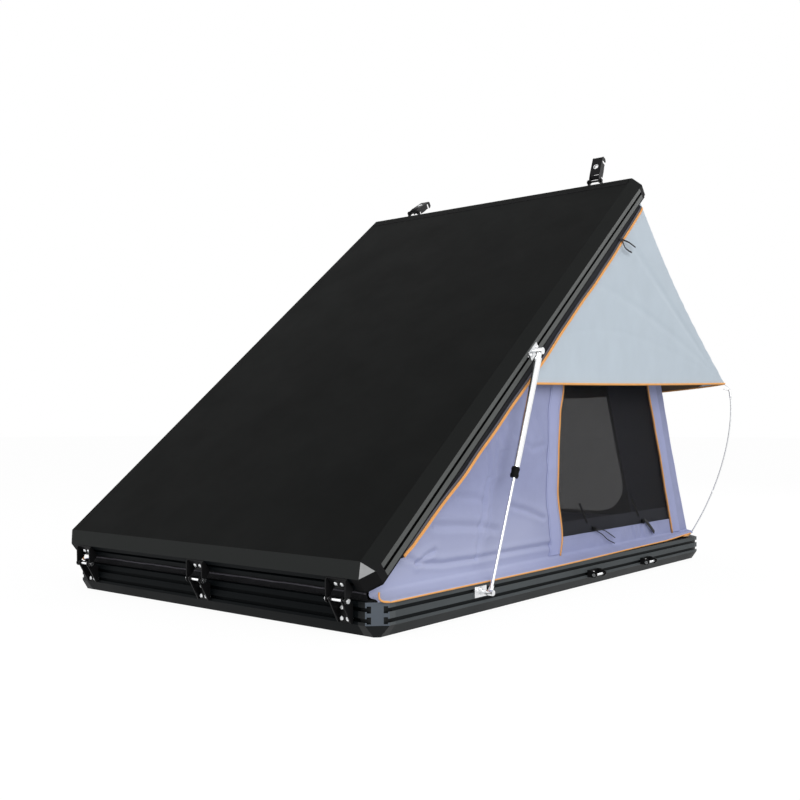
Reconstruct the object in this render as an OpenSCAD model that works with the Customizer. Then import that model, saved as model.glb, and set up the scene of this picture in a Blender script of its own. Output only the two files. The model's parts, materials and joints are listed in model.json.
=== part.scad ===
// Roof top tent with a wedge-opening hard lid, gas struts, canvas walls and an awning
// X to the right, Y from the hinge end to the tall end, Z up; the origin is under the middle of the base

/* [Base tray] */
// Length of the base along Y
base_l = 2100; // [1900:10:2400]
// Width of the base along X
base_w = 1340; // [1200:10:1500]
// Height of the base rails
base_h = 92; // [88:1:110]
// Depth of a base rail from its outer face
rail_t = 40; // [36:1:50]
// Wall of the rail extrusions
rail_wall = 3; // [2:0.5:4]
// How far the sloping lower edge goes in
chamfer_in = 25; // [15:1:30]
// Height at which the lower edge starts to slope
chamfer_z = 32; // [20:1:34]
// Leg of the flat cut across each base corner
corner_cut = 45; // [30:1:55]
// Reach of a corner casting along each side
corner_leg = 69; // [60:1:90]
// How far the foot of a corner's flat cut slopes in
corner_chamfer_in = 12; // [8:1:20]

/* [Tee slots] */
// Mouth of the slots that run round the rails
slot_mouth = 10; // [9:0.5:12]
// Thickness of the lips beside the mouth
slot_lip = 3; // [2:0.5:4]
// Width of the slot behind the lips
slot_inner_w = 18; // [16:0.5:20]
// Depth of the slot behind the lips
slot_inner_d = 8; // [7:0.5:10]
// Height of the lower base slot
slot_low_z = 45; // [42:1:47]
// Drop of the upper base slot below the base's top
slot_high_drop = 19; // [16:1:24]
// Drop of the lid slot below the lid's top
lid_slot_drop = 54; // [50:1:60]

/* [Floor] */
// Height of the floor panel's underside
floor_z = 24; // [20:1:28]
// Thickness of the floor panel
floor_t = 20; // [15:1:25]
// Skin and web thickness of the floor panel
floor_skin = 1.2; // [1:0.1:2]
// Pitch of the floor panel's webs
floor_pitch = 60; // [40:5:90]
// Width of the rail ledge under the floor
ledge_w = 22; // [15:1:30]
// Thickness of the ledge
ledge_t = 4; // [3:0.5:6]
// Distance of the mounting channels inside the base's outer face
channel_in = 250; // [170:10:350]
// Width of a mounting channel
channel_w = 60; // [50:1:80]
// Wall of a mounting channel
channel_wall = 3; // [2:0.5:4]
// Mouth of a mounting channel
channel_mouth = 20; // [12:1:30]

/* [Mattress] */
// Thickness of the mattress at its edge
mattress_t = 48; // [30:1:60]
// Extra height at the mattress's middle
mattress_crown = 12; // [4:1:20]
// Space between the mattress and the rails
mattress_gap = 28; // [15:1:50]
// Number of sewn bays along the mattress
mattress_bays = 10; // [6:1:14]
// Depth of the sewn channels
mattress_channel = 7; // [2:1:10]

/* [Lid] */
// Height of the closed lid above the base
lid_h = 85; // [80:1:100]
// Angle of the lid when it stands open
lid_angle = 39.4; // [30:0.2:45]
// How far the lid's sloping edge goes in
lid_chamfer_in = 33; // [20:1:45]
// Drop of the lid's sloping edge
lid_chamfer_drop = 34; // [25:1:40]
// Leg of the cut across each lid corner
lid_corner_cut = 36; // [30:1:45]
// Reach of a lid corner cap along each side
lid_corner_leg = 62; // [50:1:80]
// Sheet thickness of the lid skin
lid_skin_t = 1.3; // [1:0.1:2]
// Depth of a lid rail from its outer face
lid_rail_t = 30; // [26:1:40]
// Drop from the lid's top to the underside of its rails
lid_wall_drop = 76; // [74:1:79]
// Width of the weather seal
seal_w = 12; // [8:1:16]
// Thickness of the padded roof liner
liner_t = 8; // [5:1:12]

/* [Hinges] */
// Distance of the outer hinges inside the base's outer face
hinge_in = 110; // [100:5:200]
// Distance of the hinge line in front of the base
hinge_out = 35; // [30:1:45]
// Height of the hinge line above the base
hinge_up = 5; // [2:1:8]
// Radius of the hinge pins
pin_r = 4; // [3:0.5:5]
// Width of the brackets on the base
hinge_base_w = 48; // [44:1:56]
// Width of the brackets on the lid
hinge_lid_w = 72; // [66:1:80]
// Plate thickness of the brackets
bracket_t = 4; // [3:0.5:5]
// Radius of the bracket eyes
eye_r = 9; // [8:0.5:11]
// Edge of the base brackets' plates past their slots
plate_edge = 11; // [9:0.5:12]
// Place of a bracket's bolts either side of its middle
hinge_bolt_x = 11; // [9:0.5:13]

/* [Gas struts] */
// Place of the lower strut pivot along the base
strut_low_y = -575; // [-620:5:-500]
// Drop of the lower strut pivot below the upper slot
strut_low_drop = 9; // [7:1:13]
// Place of the upper strut pivot along the closed lid
strut_high_y = -36; // [-60:1:20]
// Distance of the strut outside the base
strut_out = 24; // [22:1:30]
// Radius of the strut tube
tube_r = 11; // [9:0.5:12]
// Wall of the strut tube
tube_wall = 1.5; // [1:0.1:2]
// Radius of the strut rod
rod_r = 5; // [4:0.5:6]
// Bare length of rod below the tube when open
rod_bare = 353; // [330:1:370]
// Length of the black collar at the tube's mouth
collar_l = 32; // [20:1:40]
// Thickness of the strut plates
strut_plate_t = 3; // [2:0.5:4]
// Radius of the studs that carry the struts
stud_r = 5; // [4:0.5:6]

/* [Latches] */
// Distance of the latches inside the base's outer face
latch_in = 215; // [170:5:320]
// Distance of the latch pivot behind the lid
latch_out = 22; // [20:1:28]
// Drop of the latch pivot below the lid's top
latch_drop = 12; // [8:1:20]
// Distance from the latch pivot to the hook
hook_reach = 88; // [82:1:92]
// Length of the latch lever past its hook
hook_tip = 20; // [16:1:24]
// Lean of the right lever away from the lid's normal
lean_right = 61; // [0:1:110]
// Lean of the left lever away from the lid's normal
lean_left = 99; // [0:1:110]
// Outer width of the latch levers
lever_w = 44; // [42:1:50]
// Sheet thickness of the latch levers
lever_t = 3; // [2:0.5:4]

/* [Ladder brackets] */
// Place of the first ladder bracket along the base
ladder_y = 92; // [0:5:200]
// Distance between the ladder brackets
ladder_pitch = 412; // [300:2:450]
// Width of a ladder bracket
ladder_w = 70; // [50:1:90]
// Reach of a ladder bracket from the rail
ladder_out = 36; // [28:1:45]

/* [Canvas] */
// Thickness of the canvas
canvas_t = 2; // [1.4:0.1:3]
// Distance of the side walls inside the base's outer face
wall_in = 50; // [44:1:60]
// Drop of the hem over the base's outer edge
hem_drop = 3; // [1:0.5:4]
// Distance of the rear wall's foot inside the base's outer face
rear_foot_in = 14; // [10:1:20]
// Distance of the rear wall's top inside the lid's outer face
rear_top_in = 34; // [32:1:44]
// Distance of the front wall's foot inside the base's outer face
front_foot_in = 22; // [18:1:26]
// Distance of the front wall's top inside the lid's outer face
front_top_in = 32; // [31:1:40]
// Bulge of the front wall
front_bulge = 4; // [0:0.5:6]
// Height of the window's sill above the base
sill_up = 88; // [60:1:120]
// Place of the window's front edge
window_y = -34; // [-200:2:100]
// Place of the window's rear edge at the base
window_rear_y = 868; // [700:2:940]
// Place along the closed lid that the window's front edge points at
window_lid_y = 270; // [150:5:400]
// Place along the closed lid that the window's rear edge points at
window_rear_lid_y = 919; // [800:1:980]
// Depth of the folds in the slack canvas
fold_depth = 7; // [0:0.5:12]
// Slack of the canvas between base and lid
canvas_slack = 30; // [0:1:40]

/* [Awning] */
// Reach of the awning's corners beside the base
awning_side = 86; // [40:1:150]
// Reach of the awning's corners behind the base
awning_rear = 60; // [20:1:120]
// Height of the awning's corners above the base
awning_up = 636; // [500:2:700]
// Place along the closed lid where the awning starts
awning_front_y = -30; // [-40:1:100]
// Sag of the awning's rear hem
awning_sag = 45; // [10:1:70]
// Radius of the spring rods
spring_r = 3; // [2.5:0.1:4]
// Distance of the rod sockets inside the base's outer face
socket_in = 58; // [50:1:80]
// Distance of the rods behind the rear rail
socket_out = 16; // [14:1:20]
// Outward bow of the rods
rod_bow = 70; // [20:2:100]
// Drop of the rods' tips below the awning's corners
rod_drop = 9; // [6:0.5:14]
// Distance of the rods' tips inside the awning's corners
rod_inside = 3; // [2:0.5:6]

/* [Fasteners and fits] */
// Radius of the bolt shanks
bolt_r = 4; // [3:0.5:4.5]
// Radius of the bolt heads
head_r = 6.5; // [6:0.5:7.5]
// Height of the bolt heads
head_h = 4; // [3:0.5:5]
// Radial clearance of a turning or sliding fit
run_gap = 0.05; // [0.02:0.01:0.1]
// Clearance of a bolt in its hole
bolt_gap = 0.3; // [0.1:0.05:0.5]
// Air gap between pieces that only lie near each other
air_gap = 0.5; // [0.3:0.1:0.8]

/* [Hidden] */
$fn = 48;

// Overshoot of cutting tools past the faces they cut
over = 1;
half_w = base_w / 2;
half_l = base_l / 2;
slot_high_z = base_h - slot_high_drop;
channel_x = half_w - channel_in;
hinge_x = half_w - hinge_in;
latch_x = half_w - latch_in;
strut_low_z = slot_high_z - strut_low_drop;
sides = [-1, 1];
corners = [[1, 1], [-1, 1], [-1, -1], [1, -1]];
SHRINK = 2 - sqrt(2);

// Levels of the closed lid
lid_top = base_h + lid_h;
lid_foot = lid_top - lid_wall_drop;
rim_z = lid_top - lid_chamfer_drop;
lid_slot_z = lid_top - lid_slot_drop;
slot_depth = slot_lip + slot_inner_d;

// Hinge line, and a point of the closed lid carried to the open pose
hinge_y = -half_l - hinge_out;
hinge_z = base_h + hinge_up;
function turned(a, b, angle) = [a * cos(angle) - b * sin(angle), a * sin(angle) + b * cos(angle)];
function opened(p) =
  let (q = turned(p.y - hinge_y, p.z - hinge_z, lid_angle)) [p.x, hinge_y + q[0], hinge_z + q[1]];

// Gas strut from its two pivots
strut_x = half_w + strut_out;
strut_top = opened([strut_x, strut_high_y, lid_slot_z]);
strut_l = norm([strut_top.y - strut_low_y, strut_top.z - strut_low_z]);
strut_angle = atan2(strut_top.z - strut_low_z, strut_top.y - strut_low_y);
strut_closed_l = norm([strut_high_y - strut_low_y, lid_slot_z - strut_low_z]);
strut_closed_angle = atan2(lid_slot_z - strut_low_z, strut_high_y - strut_low_y);
strut_eye_w = 16;
piston_l = 12;
plate_h = 31;
plate_l = 60;

// Latch pivot on the closed lid and the keeper pin below it
latch_y = half_l + latch_out;
latch_z = lid_top - latch_drop;
keeper_z = latch_z - hook_reach;
latch_bracket_w = lever_w + 2 * (bracket_t + 3);

// Ladder bracket pin
ladder_pin_x = half_w + ladder_out - 10;
ladder_pin_z = slot_low_z - 3;

// Awning corner, and the place where a spring rod stands in its socket
awning_x = half_w + awning_side;
awning_y = half_l + awning_rear;
awning_z = base_h + awning_up;
socket_x = half_w - socket_in;
socket_y = half_l + socket_out;
socket_top = base_h - 8;
socket_h = 28;

echo(strut_l = strut_l, strut_angle = strut_angle, strut_closed_l = strut_closed_l);
echo(swing = strut_angle - strut_closed_angle, travel = strut_l - strut_closed_l);
echo(strut_top = strut_top, hinge = [hinge_y, hinge_z], latch = opened([0, latch_y, latch_z]));

// Shared modules

// Turns lid pieces from the closed pose to the open one
module open_lid() {
  translate([0, hinge_y, hinge_z]) rotate([lid_angle, 0, 0]) translate([0, -hinge_y, -hinge_z]) children();
}

// A profile drawn as (inward, up), run along one side of the box
module run_right(l) {
  translate([half_w, l / 2, 0]) rotate([90, 0, 0]) linear_extrude(l) mirror([1, 0]) children();
}
module run_left(l) { mirror([1, 0, 0]) run_right(l) children(); }
module run_rear(l) {
  translate([-l / 2, half_l, 0]) rotate([90, 0, 90]) linear_extrude(l) mirror([1, 0]) children();
}
module run_front(l) { translate([-l / 2, -half_l, 0]) rotate([90, 0, 90]) linear_extrude(l) children(); }

// A plate drawn as (y, z), from x = at with the thickness t
module plate_yz(at, t) { translate([at, 0, 0]) rotate([90, 0, 90]) linear_extrude(t) children(); }

// A cylinder along X from x = at
module bar_x(at, l, r, y, z) { translate([at, y, z]) rotate([0, 90, 0]) cylinder(r = r, h = l); }

// A bolt along +Z whose head stands on z = 0 and whose nut lies behind a slot's lips
module tee_bolt(through) {
  nut_w = slot_inner_w - 4;
  nut_t = slot_inner_d - 3;
  cylinder(r = head_r, h = head_h);
  translate([0, 0, -through - nut_t]) cylinder(r = bolt_r, h = through + nut_t + head_h / 2);
  translate([-nut_w / 2, -nut_w / 2, -through - nut_t]) cube([nut_w, nut_w, nut_t]);
}

// The outline of a slot in a rail, open towards the outside
module slot_shape(z) {
  translate([-over, z - slot_mouth / 2]) square([slot_lip + 2 * over, slot_mouth]);
  translate([slot_lip, z - slot_inner_w / 2]) square([slot_inner_d, slot_inner_w]);
}

// An eight-sided outline inside the base's outer face
module octagon(inset, cut) {
  a = half_w - inset;
  b = half_l - inset;
  c = cut - SHRINK * inset;
  polygon([
    [a, -b + c], [a, b - c], [a - c, b], [-a + c, b], [-a, b - c], [-a, -b + c], [-a + c, -b], [a - c, -b]
  ]);
}

// Plan of a corner block in the corner where x and y are largest
module corner_plan(cut, leg, t) {
  polygon([
    [half_w, half_l - leg], [half_w, half_l - cut], [half_w - cut, half_l], [half_w - leg, half_l],
    [half_w - leg, half_l - t], [half_w - t, half_l - leg]
  ]);
}

module at_corner(c) { mirror([c[0] < 0 ? 1 : 0, 0, 0]) mirror([0, c[1] < 0 ? 1 : 0, 0]) children(); }
module each_side() { for (s = sides) mirror([s < 0 ? 1 : 0, 0, 0]) children(); }

// Base tray

module base_rail_shape() {
  // The sloping wall keeps its thickness inside the hollow
  slope = norm([chamfer_in, chamfer_z]);
  lift = rail_wall * slope / chamfer_in;
  inner = slot_depth + rail_wall;
  function slope_z(u) = chamfer_z + lift - u * chamfer_z / chamfer_in;
  function slope_u(z) = (chamfer_z + lift - z) * chamfer_in / chamfer_z;
  difference() {
    polygon([
      [0, chamfer_z], [chamfer_in, 0], [rail_t, 0], [rail_t, floor_z - ledge_t],
      [rail_t + ledge_w, floor_z - ledge_t], [rail_t + ledge_w, floor_z], [rail_t, floor_z],
      [rail_t, base_h], [0, base_h]
    ]);
    polygon([
      [inner, base_h - rail_wall], [rail_t - rail_wall, base_h - rail_wall], [rail_t - rail_wall, rail_wall],
      [slope_u(rail_wall), rail_wall], [inner, slope_z(inner)]
    ]);
    slot_shape(slot_low_z);
    slot_shape(slot_high_z);
  }
}

module base_rail_front() { color("#17191c") run_front(base_w - 2 * corner_leg) base_rail_shape(); }
module base_rail_rear() { color("#17191c") run_rear(base_w - 2 * corner_leg) base_rail_shape(); }
module base_rail_left() { color("#3a3f40") run_left(base_l - 2 * corner_leg) base_rail_shape(); }
module base_rail_right() { color("#3a3f40") run_right(base_l - 2 * corner_leg) base_rail_shape(); }

module chamfer_tool(inward) {
  polygon([[-over, chamfer_z], [0, chamfer_z], [inward, 0], [inward, -over], [-over, -over]]);
}

// Cast corner whose slots run out through the flat cut
module base_corner_casting() {
  reach = 2 * (base_l + base_w);
  difference() {
    linear_extrude(base_h) corner_plan(corner_cut, corner_leg, rail_t);
    for (z = [slot_low_z, slot_high_z]) {
      run_right(reach) slot_shape(z);
      run_rear(reach) slot_shape(z);
    }
    run_right(reach) chamfer_tool(chamfer_in);
    run_rear(reach) chamfer_tool(chamfer_in);
    translate([half_w - corner_cut / 2, half_l - corner_cut / 2, 0]) rotate([0, 0, 45])
      translate([0, corner_leg, 0]) rotate([90, 0, 0]) linear_extrude(2 * corner_leg)
        mirror([1, 0]) chamfer_tool(corner_chamfer_in);
  }
}
module base_corner_castings() { color("#6c7478") for (c = corners) at_corner(c) base_corner_casting(); }

// Hollow-chamber floor plank on the rails' ledges
module base_floor_panel() {
  w = base_w - 2 * (rail_t + air_gap);
  l = base_l - 2 * (rail_t + air_gap);
  bays = floor(w / floor_pitch);
  bay = (w - floor_skin) / bays;
  color("#8d9092") intersection() {
    translate([-w / 2, l / 2, floor_z]) rotate([90, 0, 0]) linear_extrude(l) difference() {
      square([w, floor_t]);
      for (i = [0 : bays - 1])
        translate([floor_skin + i * bay, floor_skin]) square([bay - floor_skin, floor_t - 2 * floor_skin]);
    }
    translate([0, 0, floor_z - over]) linear_extrude(floor_t + 2 * over)
      octagon(rail_t + air_gap, corner_leg - rail_t + air_gap + SHRINK * (rail_t + air_gap));
  }
}

// Roof-bar channel under the floor, open downwards
module mounting_channel() {
  l = base_l - 2 * (rail_t + ledge_w + air_gap);
  translate([channel_x - channel_w / 2, l / 2, 0]) rotate([90, 0, 0]) linear_extrude(l) difference() {
    square([channel_w, floor_z]);
    translate([channel_wall, channel_wall]) square([channel_w - 2 * channel_wall, floor_z - 2 * channel_wall]);
    translate([(channel_w - channel_mouth) / 2, -over]) square([channel_mouth, channel_wall + 2 * over]);
  }
}
module mounting_channel_left() { color("#9a9da0") mirror([1, 0, 0]) mounting_channel(); }
module mounting_channel_right() { color("#9a9da0") mounting_channel(); }

// Crowned mattress with sewn cross channels and drawn-in sides
module mattress() {
  cells_per_bay = 4;
  nx = 10;
  ny = mattress_bays * cells_per_bay;
  a = half_w - rail_t - mattress_gap;
  b = half_l - rail_t - mattress_gap;
  foot = floor_z + floor_t + air_gap;
  draw_in = 9;
  roll = 10;
  function dip(j) = mattress_channel * pow(cos(180 * j / cells_per_bay), 4);
  function crown(i, j) = mattress_crown * pow(sin(180 * i / nx), 0.5) * pow(sin(180 * j / ny), 0.35);
  function inner_edge(i, j) = (i == 0 || i == nx || j == 0 || j == ny) ? 0 : 1;
  top = [for (j = [0 : ny]) for (i = [0 : nx])
    [(a - roll) * (2 * i / nx - 1), (b - roll) * (2 * j / ny - 1),
     foot + mattress_t + crown(i, j) - inner_edge(i, j) * dip(j)]];
  rim = concat([for (i = [0 : nx]) [i, 0]], [for (j = [1 : ny]) [nx, j]],
    [for (i = [nx - 1 : -1 : 0]) [i, ny]], [for (j = [ny - 1 : -1 : 1]) [0, j]]);
  n = len(rim);
  function edge(k, pull, z) =
    let (p = rim[k], x = 2 * p[0] / nx - 1, y = 2 * p[1] / ny - 1,
      px = draw_in * (1 - pow(abs(y), 6)), py = draw_in * (1 - pow(abs(x), 6)),
      ex = abs(x) == 1 ? a - px - pull : a - roll, ey = abs(y) == 1 ? b - py - pull : b - roll)
    [abs(x) == 1 ? x * ex : x * (a - roll), abs(y) == 1 ? y * ey : y * (b - roll), z];
  middle = [for (k = [0 : n - 1]) edge(k, 0, foot + mattress_t * 0.5)];
  lower = [for (k = [0 : n - 1]) edge(k, 4, foot)];
  t0 = len(top);
  function at(k) = rim[k % n][1] * (nx + 1) + rim[k % n][0];
  faces = concat(
    [for (j = [0 : ny - 1]) for (i = [0 : nx - 1]) let (p = j * (nx + 1) + i) [p, p + nx + 1, p + 1]],
    [for (j = [0 : ny - 1]) for (i = [0 : nx - 1]) let (p = j * (nx + 1) + i) [p + 1, p + nx + 1, p + nx + 2]],
    [for (k = [0 : n - 1]) [at(k), at(k + 1), t0 + k]],
    [for (k = [0 : n - 1]) [at(k + 1), t0 + (k + 1) % n, t0 + k]],
    [for (k = [0 : n - 1]) [t0 + k, t0 + (k + 1) % n, t0 + n + k]],
    [for (k = [0 : n - 1]) [t0 + (k + 1) % n, t0 + n + (k + 1) % n, t0 + n + k]],
    [for (k = [0 : n - 1]) [t0 + n + k, t0 + n + (k + 1) % n, t0 + 2 * n]]
  );
  color("#56585f") polyhedron(concat(top, middle, lower, [[0, 0, foot]]), faces);
}

// Hinges

hinge_xs = [-hinge_x, 0, hinge_x];
hinge_plate_low = slot_low_z - plate_edge;
hinge_plate_high = slot_high_z + plate_edge;
hinge_base_holes = [[-hinge_bolt_x, slot_high_z], [-hinge_bolt_x, slot_low_z], [hinge_bolt_x, slot_low_z]];

module base_hinge_bracket() {
  w = hinge_base_w;
  difference() {
    union() {
      translate([-w / 2, -half_l - bracket_t, hinge_plate_low])
        cube([w, bracket_t, hinge_plate_high - hinge_plate_low]);
      for (at = [-w / 2, w / 2 - bracket_t]) {
        plate_yz(at, bracket_t) polygon([
          [-half_l, hinge_plate_low], [-half_l, hinge_plate_high], [hinge_y + eye_r, hinge_z],
          [hinge_y - eye_r, hinge_z], [-half_l - bracket_t - 4, hinge_plate_low]
        ]);
        bar_x(at, bracket_t, eye_r, hinge_y, hinge_z);
      }
    }
    bar_x(-w, 2 * w, pin_r + run_gap, hinge_y, hinge_z);
    for (h = hinge_base_holes) translate([h[0], -half_l + over, h[1]]) rotate([90, 0, 0])
      cylinder(r = bolt_r + bolt_gap, h = bracket_t + 2 * over);
  }
}
module hinge_base_brackets() { color("#101113") for (x = hinge_xs) translate([x, 0, 0]) base_hinge_bracket(); }

module hinge_base_bolts() {
  color("#d5d8da") for (x = hinge_xs) for (h = hinge_base_holes)
    translate([x + h[0], -half_l - bracket_t, h[1]]) rotate([90, 0, 0]) tee_bolt(bracket_t + slot_lip);
}

module hinge_pins() {
  cap_r = pin_r + 2.5;
  cap_h = 3;
  reach = hinge_lid_w / 2 + air_gap;
  color("#d5d8da") for (x = hinge_xs) {
    bar_x(x - reach, 2 * reach, pin_r, hinge_y, hinge_z);
    bar_x(x - reach - cap_h, cap_h, cap_r, hinge_y, hinge_z);
    bar_x(x + reach, cap_h, cap_r, hinge_y, hinge_z);
  }
}

lid_plate_low = lid_foot + 2;
lid_plate_high = rim_z - 1;

module lid_hinge_bracket() {
  w = hinge_lid_w;
  difference() {
    union() {
      translate([-w / 2, -half_l - bracket_t, lid_plate_low])
        cube([w, bracket_t, lid_plate_high - lid_plate_low]);
      for (at = [-w / 2, w / 2 - bracket_t]) {
        plate_yz(at, bracket_t) polygon([
          [-half_l, lid_plate_low], [-half_l, lid_plate_high], [-half_l - bracket_t - 5, lid_plate_high],
          [hinge_y - eye_r, hinge_z], [hinge_y, hinge_z - eye_r], [hinge_y + eye_r, hinge_z]
        ]);
        bar_x(at, bracket_t, eye_r, hinge_y, hinge_z);
      }
    }
    bar_x(-w, 2 * w, pin_r + run_gap, hinge_y, hinge_z);
    for (s = sides) translate([s * hinge_bolt_x, -half_l + over, lid_slot_z]) rotate([90, 0, 0])
      cylinder(r = bolt_r + bolt_gap, h = bracket_t + 2 * over);
  }
}
module hinge_lid_brackets() {
  color("#101113") open_lid() for (x = hinge_xs) translate([x, 0, 0]) lid_hinge_bracket();
}

module hinge_lid_bolts() {
  color("#d5d8da") open_lid() for (x = hinge_xs) for (s = sides)
    translate([x + s * hinge_bolt_x, -half_l - bracket_t, lid_slot_z]) rotate([90, 0, 0])
      tee_bolt(bracket_t + slot_lip);
}

// Lid

// Solid with an eight-sided foot and a four-sided top, the shape of the lid's pan
module pan_solid(z0, in0, cut0, z1, in1) {
  a = half_w - in0;
  b = half_l - in0;
  p = half_w - in1;
  q = half_l - in1;
  foot = [[a, -b + cut0], [a, b - cut0], [a - cut0, b], [-a + cut0, b],
    [-a, b - cut0], [-a, -b + cut0], [-a + cut0, -b], [a - cut0, -b]];
  head = [[p, q], [-p, q], [-p, -q], [p, -q]];
  polyhedron(
    concat([for (v = foot) [v[0], v[1], z0]], [for (v = head) [v[0], v[1], z1]]),
    [[0, 1, 2, 3, 4, 5, 6, 7], [11, 10, 9, 8], [1, 0, 11, 8], [2, 1, 8], [3, 2, 8, 9], [4, 3, 9],
     [5, 4, 9, 10], [6, 5, 10], [7, 6, 10, 11], [0, 7, 11]]
  );
}

pan_slope = norm([lid_chamfer_in, lid_chamfer_drop]) / lid_chamfer_drop;
function pan_inset(z) = lid_chamfer_in * (z - rim_z) / lid_chamfer_drop;

module lid_skin() {
  inner_top = lid_top - lid_skin_t;
  low = rim_z - over;
  side = lid_skin_t * pan_slope;
  color("#1b1c1e") open_lid() difference() {
    pan_solid(rim_z, 0, lid_corner_cut, lid_top, lid_chamfer_in);
    pan_solid(low, pan_inset(low) + side, lid_corner_cut, inner_top, pan_inset(inner_top) + side);
  }
}

// Three-sided cover plates on the pan's corners
module lid_corner_plate() {
  border = 0.08;
  lift = 0.1;
  t = 1;
  tri = [[half_w - lid_corner_cut, half_l, rim_z], [half_w, half_l - lid_corner_cut, rim_z],
    [half_w - lid_chamfer_in, half_l - lid_chamfer_in, lid_top]];
  middle = (tri[0] + tri[1] + tri[2]) / 3;
  out = cross(tri[1] - tri[0], tri[2] - tri[0]);
  face = -out / norm(out);
  turn = face.x + face.y > 0 ? 1 : -1;
  inner = [for (v = tri) v + (middle - v) * border + face * turn * lift];
  outer = [for (v = inner) v + face * turn * t];
  polyhedron(concat(inner, outer),
    [[0, 1, 2], [5, 4, 3], [0, 3, 1], [1, 3, 4], [1, 4, 2], [2, 4, 5], [2, 5, 0], [0, 5, 3]]);
}
module lid_corner_plates() { color("#a9b1b1") open_lid() for (c = corners) at_corner(c) lid_corner_plate(); }

module lid_rail_shape() {
  inner = slot_depth + rail_wall;
  difference() {
    translate([0, lid_foot]) square([lid_rail_t, rim_z - lid_foot]);
    translate([inner, lid_foot + rail_wall])
      square([lid_rail_t - inner - rail_wall, rim_z - lid_foot - 2 * rail_wall]);
    slot_shape(lid_slot_z);
  }
}
module lid_rail_front() { color("#15161a") open_lid() run_front(base_w - 2 * lid_corner_leg) lid_rail_shape(); }
module lid_rail_rear() { color("#15161a") open_lid() run_rear(base_w - 2 * lid_corner_leg) lid_rail_shape(); }
module lid_rail_left() { color("#4a4d50") open_lid() run_left(base_l - 2 * lid_corner_leg) lid_rail_shape(); }
module lid_rail_right() { color("#4a4d50") open_lid() run_right(base_l - 2 * lid_corner_leg) lid_rail_shape(); }

module lid_corner_caps() {
  color("#101113") open_lid() for (c = corners) at_corner(c)
    translate([0, 0, lid_foot]) linear_extrude(rim_z - lid_foot)
      corner_plan(lid_corner_cut, lid_corner_leg, lid_rail_t);
}

module lid_liner() {
  top = lid_top - lid_skin_t - air_gap;
  side = lid_chamfer_in + 3;
  color("#5d6066") open_lid() translate([-half_w + side, -half_l + side, top - liner_t])
    cube([base_w - 2 * side, base_l - 2 * side, liner_t]);
}

// Soft seal that closes on the base's top, with a narrow foot and a wider lip
module lid_seal() {
  edge = 4;
  foot_h = 3;
  tuck = 2;
  low = base_h + air_gap;
  color("#0c0c0d") open_lid() {
    translate([0, 0, lid_foot - foot_h]) linear_extrude(foot_h) difference() {
      octagon(edge + tuck, lid_corner_cut);
      octagon(edge + seal_w - tuck, lid_corner_cut);
    }
    translate([0, 0, low]) linear_extrude(lid_foot - foot_h - low) difference() {
      octagon(edge, lid_corner_cut);
      octagon(edge + seal_w, lid_corner_cut);
    }
  }
}

// Gas struts

strut_bolt_ys = [-36, -17];

module strut_base_bracket() {
  y0 = strut_low_y - plate_l + 12;
  shoulder = strut_out - strut_eye_w / 2 - air_gap;
  cap_at = strut_out + strut_eye_w / 2 + air_gap;
  difference() {
    union() {
      translate([half_w, y0, slot_high_z + 10 - plate_h]) cube([strut_plate_t, plate_l, plate_h]);
      bar_x(half_w + strut_plate_t / 2, shoulder - strut_plate_t / 2, stud_r + 2, strut_low_y, strut_low_z);
      bar_x(half_w + strut_plate_t / 2, cap_at, stud_r, strut_low_y, strut_low_z);
      bar_x(half_w + cap_at, 3, stud_r + 3, strut_low_y, strut_low_z);
    }
    for (y = strut_bolt_ys)
      bar_x(half_w - over, strut_plate_t + 2 * over, bolt_r + bolt_gap, strut_low_y + y, slot_high_z);
  }
}
module strut_base_bracket_left() { color("#c9ccce") mirror([1, 0, 0]) strut_base_bracket(); }
module strut_base_bracket_right() { color("#c9ccce") strut_base_bracket(); }
module strut_base_bolts() {
  color("#8f9396") each_side() for (y = strut_bolt_ys)
    translate([half_w + strut_plate_t, strut_low_y + y, slot_high_z]) rotate([0, 90, 0])
      tee_bolt(strut_plate_t + slot_lip);
}

lid_plate_bolt = 22;

module strut_lid_bracket() {
  difference() {
    union() {
      translate([half_w, strut_high_y - plate_l / 2, lid_slot_z - plate_h / 2])
        cube([strut_plate_t, plate_l, plate_h]);
      bar_x(half_w + strut_plate_t / 2, strut_out - tube_r - air_gap - strut_plate_t / 2, stud_r + 1,
        strut_high_y, lid_slot_z);
    }
    for (s = sides) bar_x(half_w - over, strut_plate_t + 2 * over, bolt_r + bolt_gap,
      strut_high_y + s * lid_plate_bolt, lid_slot_z);
  }
}
module strut_lid_bracket_left() { color("#c9ccce") open_lid() mirror([1, 0, 0]) strut_lid_bracket(); }
module strut_lid_bracket_right() { color("#c9ccce") open_lid() strut_lid_bracket(); }
module strut_lid_bolts() {
  color("#8f9396") open_lid() each_side() for (s = sides)
    translate([half_w + strut_plate_t, strut_high_y + s * lid_plate_bolt, lid_slot_z]) rotate([0, 90, 0])
      tee_bolt(strut_plate_t + slot_lip);
}

// Places a strut piece that is drawn along +Y from the lower pivot
module along_strut() { translate([strut_x, strut_low_y, strut_low_z]) rotate([strut_angle, 0, 0]) children(); }
module bar_y(at, l, r) { translate([0, at, 0]) rotate([-90, 0, 0]) cylinder(r = r, h = l); }

rod_end = rod_bare + collar_l + 8;

module strut_rod() {
  along_strut() {
    difference() {
      union() {
        bar_y(0, rod_end, rod_r);
        bar_x(-strut_eye_w / 2, strut_eye_w, eye_r, 0, 0);
        bar_y(0, eye_r + 12, rod_r + 2);
      }
      bar_x(-strut_eye_w, 2 * strut_eye_w, stud_r + run_gap, 0, 0);
    }
    bar_y(rod_end - over, piston_l + over, tube_r - tube_wall - run_gap);
  }
}
module strut_rod_left() { color("#b9bcc0") mirror([1, 0, 0]) strut_rod(); }
module strut_rod_right() { color("#b9bcc0") strut_rod(); }

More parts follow.
